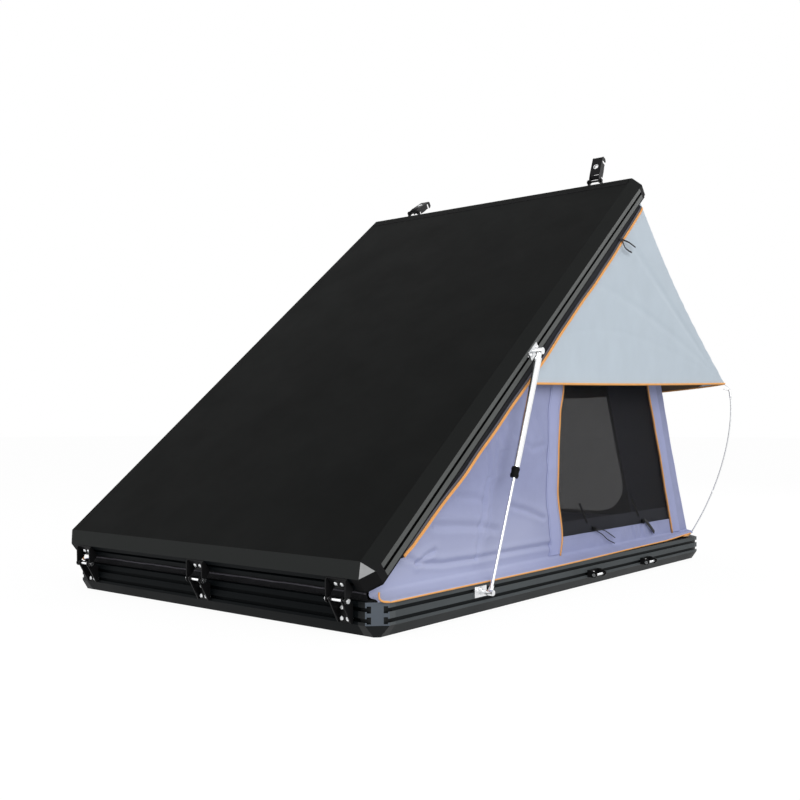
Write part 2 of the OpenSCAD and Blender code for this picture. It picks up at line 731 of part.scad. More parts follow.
module strut_collar() {
  along_strut() difference() {
    union() {
      bar_y(rod_bare, collar_l, tube_r + 1);
      bar_y(rod_bare + 4, 6, tube_r + 2.2);
      bar_y(rod_bare + collar_l - 8, 4, tube_r + 2.2);
    }
    bar_y(rod_bare - over, collar_l + 2 * over, rod_r + run_gap);
  }
}
module strut_collar_left() { color("#141416") mirror([1, 0, 0]) strut_collar(); }
module strut_collar_right() { color("#141416") strut_collar(); }

module strut_tube() {
  foot = rod_bare + collar_l;
  neck = strut_l - tube_r - 14;
  along_strut() difference() {
    union() {
      bar_y(foot, neck - foot, tube_r);
      bar_y(neck - over, strut_l - neck + over, tube_r - 3);
      bar_x(-tube_r, 2 * tube_r, tube_r, strut_l, 0);
    }
    bar_y(foot - over, neck - 10 - foot + over, tube_r - tube_wall);
  }
}
module strut_tube_left() { color("#e4e6e8") mirror([1, 0, 0]) strut_tube(); }
module strut_tube_right() { color("#e4e6e8") strut_tube(); }

// Latches

latch_bolt_x = 10;

module latch_bracket() {
  w = latch_bracket_w;
  top = rim_z + 8;
  y0 = half_l;
  difference() {
    union() {
      translate([-w / 2, y0, lid_plate_low]) cube([w, bracket_t, top - lid_plate_low]);
      for (at = [-w / 2, w / 2 - bracket_t]) {
        plate_yz(at, bracket_t) polygon([
          [y0, lid_plate_low], [y0 + bracket_t + 6, lid_plate_low], [latch_y + eye_r, latch_z],
          [latch_y, latch_z + eye_r], [y0 + bracket_t, top], [y0, top]
        ]);
        bar_x(at, bracket_t, eye_r, latch_y, latch_z);
      }
    }
    bar_x(-w, 2 * w, pin_r + run_gap, latch_y, latch_z);
    for (s = sides) translate([s * latch_bolt_x, y0 - over, lid_slot_z]) rotate([-90, 0, 0])
      cylinder(r = bolt_r + bolt_gap, h = bracket_t + 2 * over);
  }
}
module at_latches() { for (s = sides) translate([s * latch_x, 0, 0]) children(); }
module latch_brackets() { color("#101113") open_lid() at_latches() latch_bracket(); }
module latch_pins() {
  reach = latch_bracket_w / 2 + air_gap;
  cap_h = 2.5;
  color("#d5d8da") open_lid() at_latches() {
    bar_x(-reach, 2 * reach, pin_r, latch_y, latch_z);
    for (at = [-reach - cap_h, reach]) bar_x(at, cap_h, pin_r + 2, latch_y, latch_z);
  }
}
module latch_bracket_bolts() {
  color("#d5d8da") open_lid() at_latches() for (s = sides)
    translate([s * latch_bolt_x, half_l + bracket_t, lid_slot_z]) rotate([-90, 0, 0])
      tee_bolt(bracket_t + slot_lip);
}

// Hook lever that points along +Z from its pivot, with its notch towards +Y
module latch_lever() {
  tip = hook_reach + hook_tip;
  notch = pin_r + 2;
  back = 12;
  front = latch_out - bracket_t - 2;
  web_foot = 24;
  hole_z = hook_reach - 27;
  difference() {
    union() {
      for (at = [-lever_w / 2, lever_w / 2 - lever_t]) {
        plate_yz(at, lever_t) polygon([
          [-eye_r, 0], [eye_r, 0], [6, web_foot + 4], [front, web_foot], [front, web_foot + 26],
          [front - 3, hook_reach - notch - 6], [front, hook_reach], [front, tip - 8], [front - 7, tip],
          [-back + 5, tip], [-back, tip - 5], [-back, web_foot]
        ]);
        bar_x(at, lever_t, eye_r, 0, 0);
      }
      translate([-lever_w / 2, -back, web_foot]) cube([lever_w, lever_t, tip - web_foot - 5]);
    }
    bar_x(-lever_w, 2 * lever_w, pin_r + run_gap, 0, 0);
    bar_x(-lever_w, 2 * lever_w, notch, 0, hook_reach);
    translate([-lever_w, 0, hook_reach - notch]) cube([2 * lever_w, front + over, 2 * notch]);
    translate([0, -back - over, hole_z]) rotate([-90, 0, 0]) cylinder(r = 8, h = lever_t + 2 * over);
  }
}
module place_lever(side, lean) {
  open_lid() translate([side * latch_x, latch_y, latch_z]) rotate([-lean, 0, 0]) latch_lever();
}
module latch_lever_left() { color("#17181a") place_lever(-1, lean_left); }
module latch_lever_right() { color("#17181a") place_lever(1, lean_right); }

keeper_low = slot_high_z - 13;
keeper_high = base_h - hem_drop - 2;
keeper_bolt_x = 9;

// Base bracket whose pin the hook closes on
module latch_keeper() {
  w = latch_bracket_w;
  difference() {
    union() {
      translate([-w / 2, half_l, keeper_low]) cube([w, bracket_t, keeper_high - keeper_low]);
      for (at = [-w / 2, w / 2 - bracket_t]) {
        plate_yz(at, bracket_t) polygon([
          [half_l, keeper_low], [half_l, keeper_high], [latch_y, keeper_z + eye_r],
          [latch_y + eye_r, keeper_z], [latch_y, keeper_z - eye_r]
        ]);
        bar_x(at, bracket_t, eye_r, latch_y, keeper_z);
      }
    }
    bar_x(-w, 2 * w, pin_r + run_gap, latch_y, keeper_z);
    for (s = sides) translate([s * keeper_bolt_x, half_l - over, slot_high_z]) rotate([-90, 0, 0])
      cylinder(r = bolt_r + bolt_gap, h = bracket_t + 2 * over);
  }
}
module latch_keepers() { color("#101113") at_latches() latch_keeper(); }
module keeper_pins() {
  reach = latch_bracket_w / 2 + air_gap;
  cap_h = 2.5;
  color("#d5d8da") at_latches() {
    bar_x(-reach, 2 * reach, pin_r, latch_y, keeper_z);
    for (at = [-reach - cap_h, reach]) bar_x(at, cap_h, pin_r + 2, latch_y, keeper_z);
  }
}
module keeper_bolts() {
  color("#d5d8da") at_latches() for (s = sides)
    translate([s * keeper_bolt_x, half_l + bracket_t, slot_high_z]) rotate([-90, 0, 0])
      tee_bolt(bracket_t + slot_lip);
}

// Ladder brackets on the right rail

ladder_ys = [ladder_y, ladder_y + ladder_pitch];
ladder_half_h = 12;

module ladder_bracket() {
  w = ladder_w;
  out = half_w + ladder_out;
  difference() {
    union() {
      translate([half_w, -w / 2, slot_low_z - ladder_half_h]) cube([bracket_t, w, 2 * ladder_half_h]);
      for (at = [w / 2, -w / 2 + bracket_t])
        translate([0, at, slot_low_z]) rotate([90, 0, 0]) linear_extrude(bracket_t) polygon([
          [half_w, -ladder_half_h], [out - 8, -ladder_half_h], [out, -ladder_half_h + 6], [out, 3],
          [half_w + 14, ladder_half_h], [half_w, ladder_half_h]
        ]);
    }
    translate([ladder_pin_x, w, ladder_pin_z]) rotate([90, 0, 0]) cylinder(r = pin_r + run_gap, h = 2 * w);
    bar_x(half_w - over, bracket_t + 2 * over, bolt_r + bolt_gap, 0, slot_low_z);
  }
}
module ladder_brackets() { color("#101113") for (y = ladder_ys) translate([0, y, 0]) ladder_bracket(); }
module ladder_pins() {
  reach = ladder_w / 2 + air_gap;
  cap_h = 3;
  color("#e4e6e8") for (y = ladder_ys) translate([ladder_pin_x, y, ladder_pin_z]) rotate([90, 0, 0]) {
    translate([0, 0, -reach]) cylinder(r = pin_r, h = 2 * reach);
    for (at = [-reach - cap_h, reach]) translate([0, 0, at]) cylinder(r = pin_r + 2, h = cap_h);
  }
}
module ladder_bolts() {
  color("#d5d8da") for (y = ladder_ys)
    translate([half_w + bracket_t, y, slot_low_z]) rotate([0, 90, 0]) tee_bolt(bracket_t + slot_lip);
}

// Canvas

// Closed sheet between two grids of points, without the cells that hole(i, j) leaves out
module sheet_solid(outer, inner, hole = [0, 0, 0, 0]) {
  ni = len(outer) - 1;
  nj = len(outer[0]) - 1;
  function id(i, j) = i * (nj + 1) + j;
  back = (ni + 1) * (nj + 1);
  function kept(i, j) = i >= 0 && j >= 0 && i < ni && j < nj &&
    !(i >= hole[0] && i < hole[1] && j >= hole[2] && j < hole[3]);
  function wall(a, b) = [[a, b, back + a], [b, back + b, back + a]];
  cells = [for (i = [0 : ni - 1]) for (j = [0 : nj - 1]) if (kept(i, j)) [i, j]];
  skin = [for (c = cells)
    let (a = id(c[0], c[1]), b = id(c[0] + 1, c[1]), d = id(c[0] + 1, c[1] + 1), e = id(c[0], c[1] + 1))
    each [[a, d, b], [a, e, d], [back + a, back + b, back + d], [back + a, back + d, back + e]]];
  rims = [for (c = cells)
    let (i = c[0], j = c[1], a = id(i, j), b = id(i + 1, j), d = id(i + 1, j + 1), e = id(i, j + 1))
    each concat(kept(i, j - 1) ? [] : wall(a, b), kept(i + 1, j) ? [] : wall(b, d),
      kept(i, j + 1) ? [] : wall(d, e), kept(i - 1, j) ? [] : wall(e, a))];
  polyhedron(concat([for (col = outer) each col], [for (col = inner) each col]), concat(skin, rims));
}

function mix(a, b, t) = a + (b - a) * t;
function mix3(list, k, n) = let (i = min(floor(k / n), len(list) - 2)) mix(list[i], list[i + 1], k / n - i);

wall_x = half_w - wall_in;
canvas_top_z = base_h - 0.6;
canvas_top_x = wall_x + 2;
rear_foot_y = half_l - rear_foot_in;
rear_top_y = half_l - rear_top_in;
front_foot_y = -half_l + front_foot_in;
front_top_y = -half_l + front_top_in;
corner_step = canvas_t + air_gap;

// Columns of the side wall: front corner, front stretch, window, rear stretch and rear corner
stretch_cols = [1, 9, 8, 2, 1];
window_first = stretch_cols[0] + stretch_cols[1];
window_last = window_first + stretch_cols[2];
wall_cols = window_last + stretch_cols[3] + stretch_cols[4];
hem_rows = 4;
upper_rows = 9;
wall_rows = hem_rows + upper_rows;
window_top_row = wall_rows - 2;

kink_y = half_l - corner_cut;
rear_end_y = rear_foot_y - corner_step;
front_share = (-kink_y - front_foot_y) / (window_y - front_foot_y);
rear_share = (kink_y - window_rear_y) / (rear_end_y - window_rear_y);
foot_ys = [front_foot_y, -kink_y, window_y, window_rear_y, kink_y, rear_end_y];
top_ys = [front_top_y, mix(front_top_y, window_lid_y, front_share), window_lid_y, window_rear_lid_y,
  mix(window_rear_lid_y, rear_top_y - corner_step, rear_share), rear_top_y - corner_step];
stretches = len(stretch_cols);
col_at = concat(
  [for (k = [0 : stretches - 1]) for (c = [0 : stretch_cols[k] - 1]) k + c / stretch_cols[k]],
  [stretches]
);
function column(list, i) =
  let (k = min(floor(col_at[i]), stretches - 1)) mix(list[k], list[k + 1], col_at[i] - k);

// Outer edge of the base at a place along Y, which follows the corner cuts
function outline_x(y) = half_w - max(0, abs(y) - (half_l - corner_cut));

// Fade of the folds towards sewn edges, and the growth of the slack behind the window
function fade(i) = sin(180 * min(1, (column(foot_ys, i) - front_foot_y) / (window_y - front_foot_y)));
function slack_at(i) =
  canvas_slack * max(0, (column(foot_ys, i) - window_rear_y) / (rear_end_y - window_rear_y));

function side_point(i, j) =
  let (
    y0 = column(foot_ys, i),
    top = opened([canvas_top_x, column(top_ys, i), canvas_top_z]),
    h = top.z - base_h,
    skirt_z = base_h + min(26, 0.35 * h),
    sill_z = base_h + min(sill_up, 0.55 * h),
    t = (j - hem_rows) / upper_rows,
    z = mix(sill_z, top.z, t),
    rise = (z - base_h) / h,
    tall = min(1, h / 400),
    y = mix(y0, top.y, rise) - slack_at(i) * sin(180 * rise),
    waves = sin(z * 1.1 + y * 0.25) + 0.6 * sin(y * 0.62 - z * 0.3),
    fold = fold_depth * tall * fade(i) * sin(180 * min(1, max(0, t))) * waves
  )
  j == 0 ? [outline_x(y0) + canvas_t, y0, base_h - hem_drop] :
  j == 1 ? [outline_x(y0) + canvas_t, y0, base_h + canvas_t] :
  j == 2 ? [wall_x + 12, y0, base_h + canvas_t + min(8, 0.1 * h)] :
  j == 3 ? [wall_x, mix(y0, y, 0.3), skirt_z] :
  [mix(wall_x, canvas_top_x, rise) + fold, y, z];

// Steps from the outer to the inner face, which keep the hem clear of the rail
hem_gap = 0.5;
hem_step = -canvas_t + hem_gap;
function side_inset(j) =
  j == 0 ? [hem_step, 0, 0] :
  j == 1 ? [hem_step, 0, hem_step] :
  j == 2 ? [-canvas_t / 2, 0, hem_step] : [-canvas_t, 0, 0];

module side_wall() {
  outer = [for (i = [0 : wall_cols]) [for (j = [0 : wall_rows]) side_point(i, j)]];
  inner = [for (i = [0 : wall_cols]) [for (j = [0 : wall_rows]) outer[i][j] + side_inset(j)]];
  sheet_solid(outer, inner, [window_first, window_last, hem_rows, window_top_row]);
}
module wall_right() { color("#a3a6c4") side_wall(); }
module wall_left() { color("#a3a6c4") mirror([1, 0, 0]) side_wall(); }

mesh_t = 1;
mesh_lap = 12;

// Step of one lap from p towards q along the canvas, and the side on which index k lies past a window's edge
function lap(p, q) = p == q ? [0, 0, 0] : mesh_lap * (q - p) / norm(q - p);
function past(k, first, last) = k == first ? k - 1 : k == last ? k + 1 : k;

// Net behind the window, which laps the canvas all round
module side_mesh() {
  behind = [canvas_t + air_gap, 0, 0];
  outer = [for (i = [window_first : window_last]) [for (j = [hem_rows : window_top_row])
    let (p = side_point(i, j), u = side_point(past(i, window_first, window_last), j),
      v = side_point(i, past(j, hem_rows, window_top_row)))
    p - behind + lap(p, u) + lap(p, v)]];
  inner = [for (col = outer) [for (p = col) p - [mesh_t, 0, 0]]];
  sheet_solid(outer, inner);
}
module mesh_right() { color("#2a2b2f") side_mesh(); }
module mesh_left() { color("#2a2b2f") mirror([1, 0, 0]) side_mesh(); }

// Rear wall with its own window
rear_cols_n = 10;
rear_rows_n = 11;
rear_window = [2, 8, hem_rows, 9];
rear_half = wall_x - corner_step - canvas_t;

function rear_point(i, j) =
  let (
    s = 2 * i / rear_cols_n - 1,
    x = rear_half * s,
    top = opened([x, rear_top_y, canvas_top_z]),
    h = top.z - base_h,
    t = (j - hem_rows) / (rear_rows_n - hem_rows),
    z = mix(base_h + sill_up, top.z, t),
    rise = (z - base_h) / h,
    y = mix(rear_foot_y, top.y, rise) - canvas_slack * sin(180 * rise) * (0.6 + 0.4 * abs(s))
  )
  j == 0 ? [x, half_l + canvas_t, base_h - hem_drop] :
  j == 1 ? [x, half_l + canvas_t, base_h + canvas_t] :
  j == 2 ? [x, rear_foot_y + 6, base_h + canvas_t + 8] :
  j == 3 ? [x, rear_foot_y - 6, base_h + 26] :
  [x, y, z];
function rear_inset(j) =
  j == 0 ? [0, hem_step, 0] :
  j == 1 ? [0, hem_step, hem_step] :
  j == 2 ? [0, -canvas_t / 2, hem_step] : [0, -canvas_t, 0];

module wall_rear() {
  outer = [for (i = [rear_cols_n : -1 : 0]) [for (j = [0 : rear_rows_n]) rear_point(i, j)]];
  inner = [for (i = [0 : rear_cols_n]) [for (j = [0 : rear_rows_n]) outer[i][j] + rear_inset(j)]];
  color("#a3a6c4") sheet_solid(outer, inner, rear_window);
}
module mesh_rear() {
  behind = [0, canvas_t + 3 * air_gap, 0];
  outer = [for (i = [rear_window[1] : -1 : rear_window[0]]) [for (j = [rear_window[2] : rear_window[3]])
    let (p = rear_point(i, j), u = rear_point(past(i, rear_window[0], rear_window[1]), j),
      v = rear_point(i, past(j, rear_window[2], rear_window[3])))
    p - behind + lap(p, u) + lap(p, v)]];
  inner = [for (col = outer) [for (p = col) p - [0, mesh_t, 0]]];
  color("#2a2b2f") sheet_solid(outer, inner);
}

// Low front strip between the base and the lid, with a shallow bulge
module wall_front() {
  cols = 12;
  rows = 3;
  front = wall_x - corner_step - canvas_t;
  function point(i, j) =
    let (x = front * (2 * i / cols - 1), top = opened([x, front_top_y, canvas_top_z]), t = j / rows,
      bulge = front_bulge * sin(180 * t) * (1 + 0.5 * sin(i * 140)))
    [x, mix(front_foot_y, top.y, t) - bulge, mix(base_h + air_gap, top.z, t)];
  outer = [for (i = [0 : cols]) [for (j = [0 : rows]) point(i, j)]];
  inner = [for (col = outer) [for (p = col) p + [0, canvas_t, 0]]];
  color("#a3a6c4") sheet_solid(outer, inner);
}

// Awning

awning_t = 1.6;
awning_side_cols = 10;
awning_rear_cols = 14;
awning_rows = 8;
awning_top_x = half_w - 22;
awning_top_y = half_l - 16;
awning_top_z = base_h - 0.2;
awning_start = 80;

// Upper edge under the lid rails and lower hem, walked from the right start round to the left one
function awning_right(t) = let (
    top = opened([awning_top_x, mix(awning_front_y, awning_top_y, t), awning_top_z]),
    start = opened([awning_top_x, awning_front_y, awning_top_z]) + [2, 10, -awning_start],
    hem = mix(start, [awning_x, awning_y, awning_z], t) + [-6 * sin(180 * t), 0, -3 * sin(180 * t)])
  [top, hem];
function awning_back(t) = let (
    top = opened([mix(awning_top_x, -awning_top_x, t), awning_top_y, awning_top_z]),
    sag = awning_sag * pow(sin(180 * t), 0.8),
    hem = [mix(awning_x, -awning_x, t), awning_y - 10 * sin(180 * t), awning_z - sag])
  [top, hem];
function flip(e) = [[-e[0].x, e[0].y, e[0].z], [-e[1].x, e[1].y, e[1].z]];
awning_edges = concat(
  [for (k = [0 : awning_side_cols - 1]) concat(awning_right(k / awning_side_cols), [[-1, 0.35, 0]])],
  [for (k = [0 : awning_rear_cols]) concat(awning_back(k / awning_rear_cols),
    [k == 0 ? [-1, -0.6, 0] : k == awning_rear_cols ? [1, -0.6, 0] : [0, -1, 0]])],
  [for (k = [awning_side_cols - 1 : -1 : 0]) concat(flip(awning_right(k / awning_side_cols)), [[1, 0.35, 0]])]
);

module awning() {
  // The cloth hangs a little hollow between its top edge and its hem
  hollow = 14;
  outer = [for (e = awning_edges) [for (j = [awning_rows : -1 : 0])
    let (t = j / awning_rows, dip = hollow * sin(180 * t) * min(1, norm(e[1] - e[0]) / 600))
    mix(e[0], e[1], t) + e[2] * dip]];
  inner = [for (i = [0 : len(outer) - 1]) [for (p = outer[i]) p + awning_edges[i][2] * awning_t]];
  color("#b9c6ce") sheet_solid(outer, inner);
}

// Spring rods between the base and the awning's corners

module rod_sockets() {
  w = 24;
  out = socket_out + 3 * spring_r;
  bore = socket_h - 6;
  color("#1c1d20") each_side() difference() {
    translate([socket_x - w / 2, half_l, socket_top - socket_h]) cube([w, out, socket_h]);
    translate([socket_x, socket_y, socket_top - bore]) cylinder(r = spring_r + bolt_gap, h = bore + over);
    translate([socket_x - w, half_l + out, socket_top - socket_h]) rotate([45, 0, 0])
      translate([0, -8, -8]) cube([2 * w, 16, 16]);
  }
}

rod_rings = 22;
rod_sides = 8;
rod_top = [awning_x - rod_inside, awning_y - rod_inside, awning_z - rod_drop];

// Route of a rod: a short straight stand in its socket, then one bowed curve
function rod_route(k) =
  let (
    plan = [rod_top.x - socket_x, rod_top.y - socket_y],
    reach = norm(plan),
    dir = plan / reach,
    z0 = socket_top,
    rise = rod_top.z - z0,
    h = [0, reach * 0.8, reach + rod_bow, reach],
    v = [z0, z0 + 0.33 * rise, z0 + 0.74 * rise, rod_top.z],
    t = (k - 1) / (rod_rings - 1),
    b = [pow(1 - t, 3), 3 * t * pow(1 - t, 2), 3 * t * t * (1 - t), t * t * t],
    a = k == 0 ? 0 : b * h,
    z = k == 0 ? socket_top - socket_h + 8 : b * v
  )
  [socket_x + dir[0] * a, socket_y + dir[1] * a, z];

module spring_rod() {
  pts = [for (k = [0 : rod_rings]) rod_route(k)];
  plan = [rod_top.x - socket_x, rod_top.y - socket_y];
  side = [-plan[1], plan[0], 0] / norm(plan);
  n = len(pts);
  ring = [for (k = [0 : n - 1])
    let (
      d = pts[min(k + 1, n - 1)] - pts[max(k - 1, 0)],
      along = k == 0 ? [0, 0, 1] : d / norm(d),
      up = cross(side, along)
    )
    each [for (s = [0 : rod_sides - 1])
      let (a = 360 * s / rod_sides) pts[k] + spring_r * (side * cos(a) + up * sin(a))]];
  m = rod_sides;
  faces = concat(
    [for (k = [0 : n - 2]) for (s = [0 : m - 1])
      let (a = k * m + s, b = k * m + (s + 1) % m) each [[a, a + m, b], [b, a + m, b + m]]],
    [for (s = [1 : m - 2]) [0, s, s + 1]],
    [for (s = [1 : m - 2]) [(n - 1) * m, (n - 1) * m + s + 1, (n - 1) * m + s]]
  );
  polyhedron(ring, faces);
}
module spring_rod_left() { color("#dfe2e4") mirror([1, 0, 0]) spring_rod(); }
module spring_rod_right() { color("#dfe2e4") spring_rod(); }

base_floor_panel();
base_rail_front();
base_rail_rear();
base_rail_left();
base_rail_right();
base_corner_castings();
mounting_channel_left();
mounting_channel_right();
mattress();
hinge_base_brackets();
hinge_pins();
hinge_base_bolts();
hinge_lid_brackets();
hinge_lid_bolts();
lid_skin();
lid_corner_plates();
lid_rail_front();
lid_rail_rear();
lid_rail_left();
lid_rail_right();
lid_corner_caps();
lid_liner();
lid_seal();
strut_base_bracket_left();
strut_base_bracket_right();
strut_base_bolts();
strut_lid_bracket_left();
strut_lid_bracket_right();
strut_lid_bolts();
strut_rod_left();
strut_rod_right();
strut_tube_left();
strut_tube_right();
strut_collar_left();
strut_collar_right();
latch_brackets();
latch_pins();
latch_bracket_bolts();
latch_lever_left();
latch_lever_right();
latch_keepers();
keeper_pins();
keeper_bolts();
ladder_brackets();
ladder_pins();
ladder_bolts();
wall_right();
wall_left();
wall_rear();
wall_front();
mesh_right();
mesh_left();
mesh_rear();
awning();
rod_sockets();
spring_rod_left();
spring_rod_right();
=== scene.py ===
"""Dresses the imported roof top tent: cloth, trims, fasteners and finishes around the CAD frame."""

import json
import math

import bmesh
import bpy
import numpy as np
from bpy.props import FloatProperty, FloatVectorProperty, IntProperty, PointerProperty
from mathutils import Matrix, Vector, noise


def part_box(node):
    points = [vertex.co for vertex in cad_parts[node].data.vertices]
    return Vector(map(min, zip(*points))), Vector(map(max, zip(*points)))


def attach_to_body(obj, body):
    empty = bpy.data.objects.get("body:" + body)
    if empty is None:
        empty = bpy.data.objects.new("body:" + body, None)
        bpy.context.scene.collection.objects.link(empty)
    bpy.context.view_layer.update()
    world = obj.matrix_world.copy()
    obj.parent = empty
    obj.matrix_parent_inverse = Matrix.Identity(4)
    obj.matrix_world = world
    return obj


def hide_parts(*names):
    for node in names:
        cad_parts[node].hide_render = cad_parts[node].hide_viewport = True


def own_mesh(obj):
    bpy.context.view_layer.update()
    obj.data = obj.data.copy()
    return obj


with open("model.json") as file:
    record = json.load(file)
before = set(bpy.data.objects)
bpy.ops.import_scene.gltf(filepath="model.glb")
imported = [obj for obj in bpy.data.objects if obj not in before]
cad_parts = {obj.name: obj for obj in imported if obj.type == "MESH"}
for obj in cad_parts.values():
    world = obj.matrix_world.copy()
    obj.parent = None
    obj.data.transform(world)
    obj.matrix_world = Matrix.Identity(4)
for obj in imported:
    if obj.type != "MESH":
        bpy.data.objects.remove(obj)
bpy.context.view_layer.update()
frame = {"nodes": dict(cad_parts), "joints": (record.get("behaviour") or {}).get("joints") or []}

bl_info = {
    "name": "Roof top tent",
    "version": (1, 0, 0),
    "blender": (4, 5, 0),
    "location": "View3D > Sidebar > Tent",
    "description": "Builds the cloth, trims, fasteners and finishes of a roof top tent on its CAD frame",
    "category": "Object",
}

# Places taken from the frame, in metres
HALF_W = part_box("base_rail_right")[1][0]
HALF_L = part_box("base_rail_rear")[1][1]
BASE_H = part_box("base_rail_right")[1][2]
LID_HINGE = next(j for j in frame["joints"] if j["name"] == "lid_hinge")
HINGE_Y, HINGE_Z = LID_HINGE["pos_m"][1:]
OPEN_ANGLE = math.radians(-LID_HINGE["range_deg"][0])
MM = 0.001
SIDES = (("right", 1), ("left", -1))

# Camera of the photo, and the lamps by name, place, size and power
LENS, SENSOR = 44.59, 36.0
CAMERA_PLACE = (2.296, -2.988, 0.538)
CAMERA_TURN = (math.radians(91.67), 0, math.radians(38.76))
LAMPS = (
    ("key", (4.2, -2.4, 2.6), 3.0, 100.0),
    ("fill", (-3.2, -4.2, 1.8), 4.0, 58.0),
    ("back", (1.5, 4.0, 3.5), 3.5, 60.0),
)
LAMP_AIM = Vector((0, 0, 0.5))
FLOOR_HALF = 60.0

# Levels of the closed lid, and of the slots in the rails
LID_TOP = BASE_H + 85 * MM
LID_SLOT_Z = LID_TOP - 54 * MM
LID_FOLD_Z = LID_TOP - 28 * MM
LID_CHAMFER = 33 * MM
SLOT_LOW_Z = 45 * MM
SLOT_HIGH_Z = BASE_H - 19 * MM

# Side walls: where a column of cloth stands on the base and where it meets the lid
WALL_X = HALF_W - 50 * MM
CANVAS_TOP_X = WALL_X + 2 * MM
CANVAS_TOP_Z = BASE_H - 0.6 * MM
CORNER_CUT = 45 * MM
CORNER_REACH = HALF_L - 66 * MM
FRONT_FOOT_Y = -HALF_L + 22 * MM
REAR_FOOT_Y = HALF_L - 14 * MM
REAR_TOP_Y = HALF_L - 34 * MM
WINDOW_Y = -34 * MM
WINDOW_REAR_Y = 868 * MM
CORNER_STEP = 2.5 * MM
FOOT_YS = (FRONT_FOOT_Y, WINDOW_Y, WINDOW_REAR_Y, REAR_FOOT_Y - CORNER_STEP)
TOP_YS = (-HALF_L + 32 * MM, 270 * MM, 919 * MM, REAR_TOP_Y - CORNER_STEP)
SKIRT_UP = 26 * MM
SILL_UP = 81 * MM
HEM_DROP = 3 * MM
CANVAS_SLACK = 30 * MM
WINDOW_TOP_SHARE = 7 / 9
REAR_HALF = WALL_X - CORNER_STEP - 2 * MM

# Rear window, its upper and lower corner radii, and how far the nets lap behind the canvas
WINDOW_HALF, WINDOW_HIGH = 0.37, 1.07
WINDOW_RADII = (0.06, 0.15)
NET_LAP = 12 * MM

# Stretches over which painted light makes the canvas paler by height and along the side, and how much paler
# it gets
PAINTED_LIGHT_SPANS = {"Z": (100 * MM, 400 * MM), "Y": (-500 * MM, 100 * MM)}
PAINTED_LIGHT_GAINS = (1.36, 1.34, 1.2)

# Distances of the nets and of the panel at their foot behind the canvas, and the panel's height
NET_BEHIND, REAR_NET_BEHIND, PANEL_BEHIND = 2.6 * MM, 3.2 * MM, 10 * MM
PANEL_UP = 48 * MM

# Low strip at the hinges, whose cloth bulges between its gathers, and the rib along it
FRONT_BULGE = 4.5 * MM
RIB_WIDTH, RIB_THICKNESS = 5 * MM, 3 * MM

# Awning corners, and the spring rods that spread them
AWNING_TOP_X = HALF_W - 22 * MM
AWNING_TOP_YS = (-30 * MM, HALF_L - 16 * MM)
AWNING_TOP_Z = BASE_H - 0.2 * MM
AWNING_CORNER = np.array([HALF_W + 86 * MM, HALF_L + 60 * MM, BASE_H + 636 * MM])
AWNING_SAG = 45 * MM
AWNING_INSET = 34 * MM
AWNING_ROWS = 54
GORE_START, GORE_SHARE = 0.004, 0.0767
ROD_FOOT = np.array([HALF_W - 58 * MM, HALF_L + 16 * MM, BASE_H - 8 * MM])
ROD_TIP = AWNING_CORNER - np.array([3, 3, 9]) * MM
ROD_BOW = 48 * MM
ROD_END = 22 * MM
ROD_STAND = 18 * MM

# Tension folds that run up from the awning's corners, as slope and depth in millimetres
AWNING_FANS = ((0.10, 3.2), (0.26, 2.0), (0.48, 1.2))

# Sway of a zip beside its straight line, as (height, offset) in millimetres
FRONT_SWAY = ((105, -9), (169, 2), (331, -26), (462, -20), (579, -9), (681, 14))
REAR_SWAY = ((110, 9), (413, -6), (560, -17), (703, -29))
SWAY_REACH = 150 * MM
ZIP_FLAP = 77 * MM
FLAP_LIFT, FLAP_PUFF = 2.2 * MM, 1.6 * MM
WELT_OUT, STITCH_OUT, SILL_STITCH_OUT = 3.4 * MM, 2.9 * MM, 0.2 * MM
TOOTH_SIZE = (4 * MM, 2 * MM, 2.4 * MM)

# Hem of a side skirt along its length: (place, draw-in) and (place, height over the rail) in millimetres
HEM_IN = ((-300, 0), (1030, 18))
HEM_UP = ((-300, 0.5), (700, 4.5), (1000, 14))

# Front end of the hem's piping, which curls up, as points in metres
HEM_CURL = ((0.6520, -1.0260, 0.1180), (0.6535, -1.0285, 0.1080), (0.6575, -1.0270, 0.0985),
            (0.6640, -1.0170, 0.0940))

# Lower edge of the flap on the lid's side rail: (place along the closed lid, height) in millimetres
LID_FLAP_EDGE = ((-930, 97), (-897, 77), (-850, 71), (-780, 70), (-524, 57), (-225, 53), (-78, 50),
                 (4, 48), (246, 51), (543, 46), (962, 56), (982, 60))

# Ties on the awning's edge, as points in metres
TIE_WIDTH = 7 * MM
TIE_TAILS = (
    ((0.659, 0.340, 1.238), (0.665, 0.365, 1.233), (0.668, 0.401, 1.229), (0.669, 0.449, 1.219)),
    ((0.659, 0.338, 1.236), (0.665, 0.350, 1.226), (0.667, 0.366, 1.207), (0.668, 0.389, 1.199),
     (0.669, 0.418, 1.195)),
)

# Buckles under a side window as (y, z), and their blocks as size and offset in millimetres
BUCKLES = ((0.188, 0.183), (0.588, 0.180))
BUCKLE_BLOCKS = (((5, 18, 11), (0, 2, 2)), ((7, 6, 14), (0, -6, 3)), ((7, 6, 14), (0, 11, 1)))

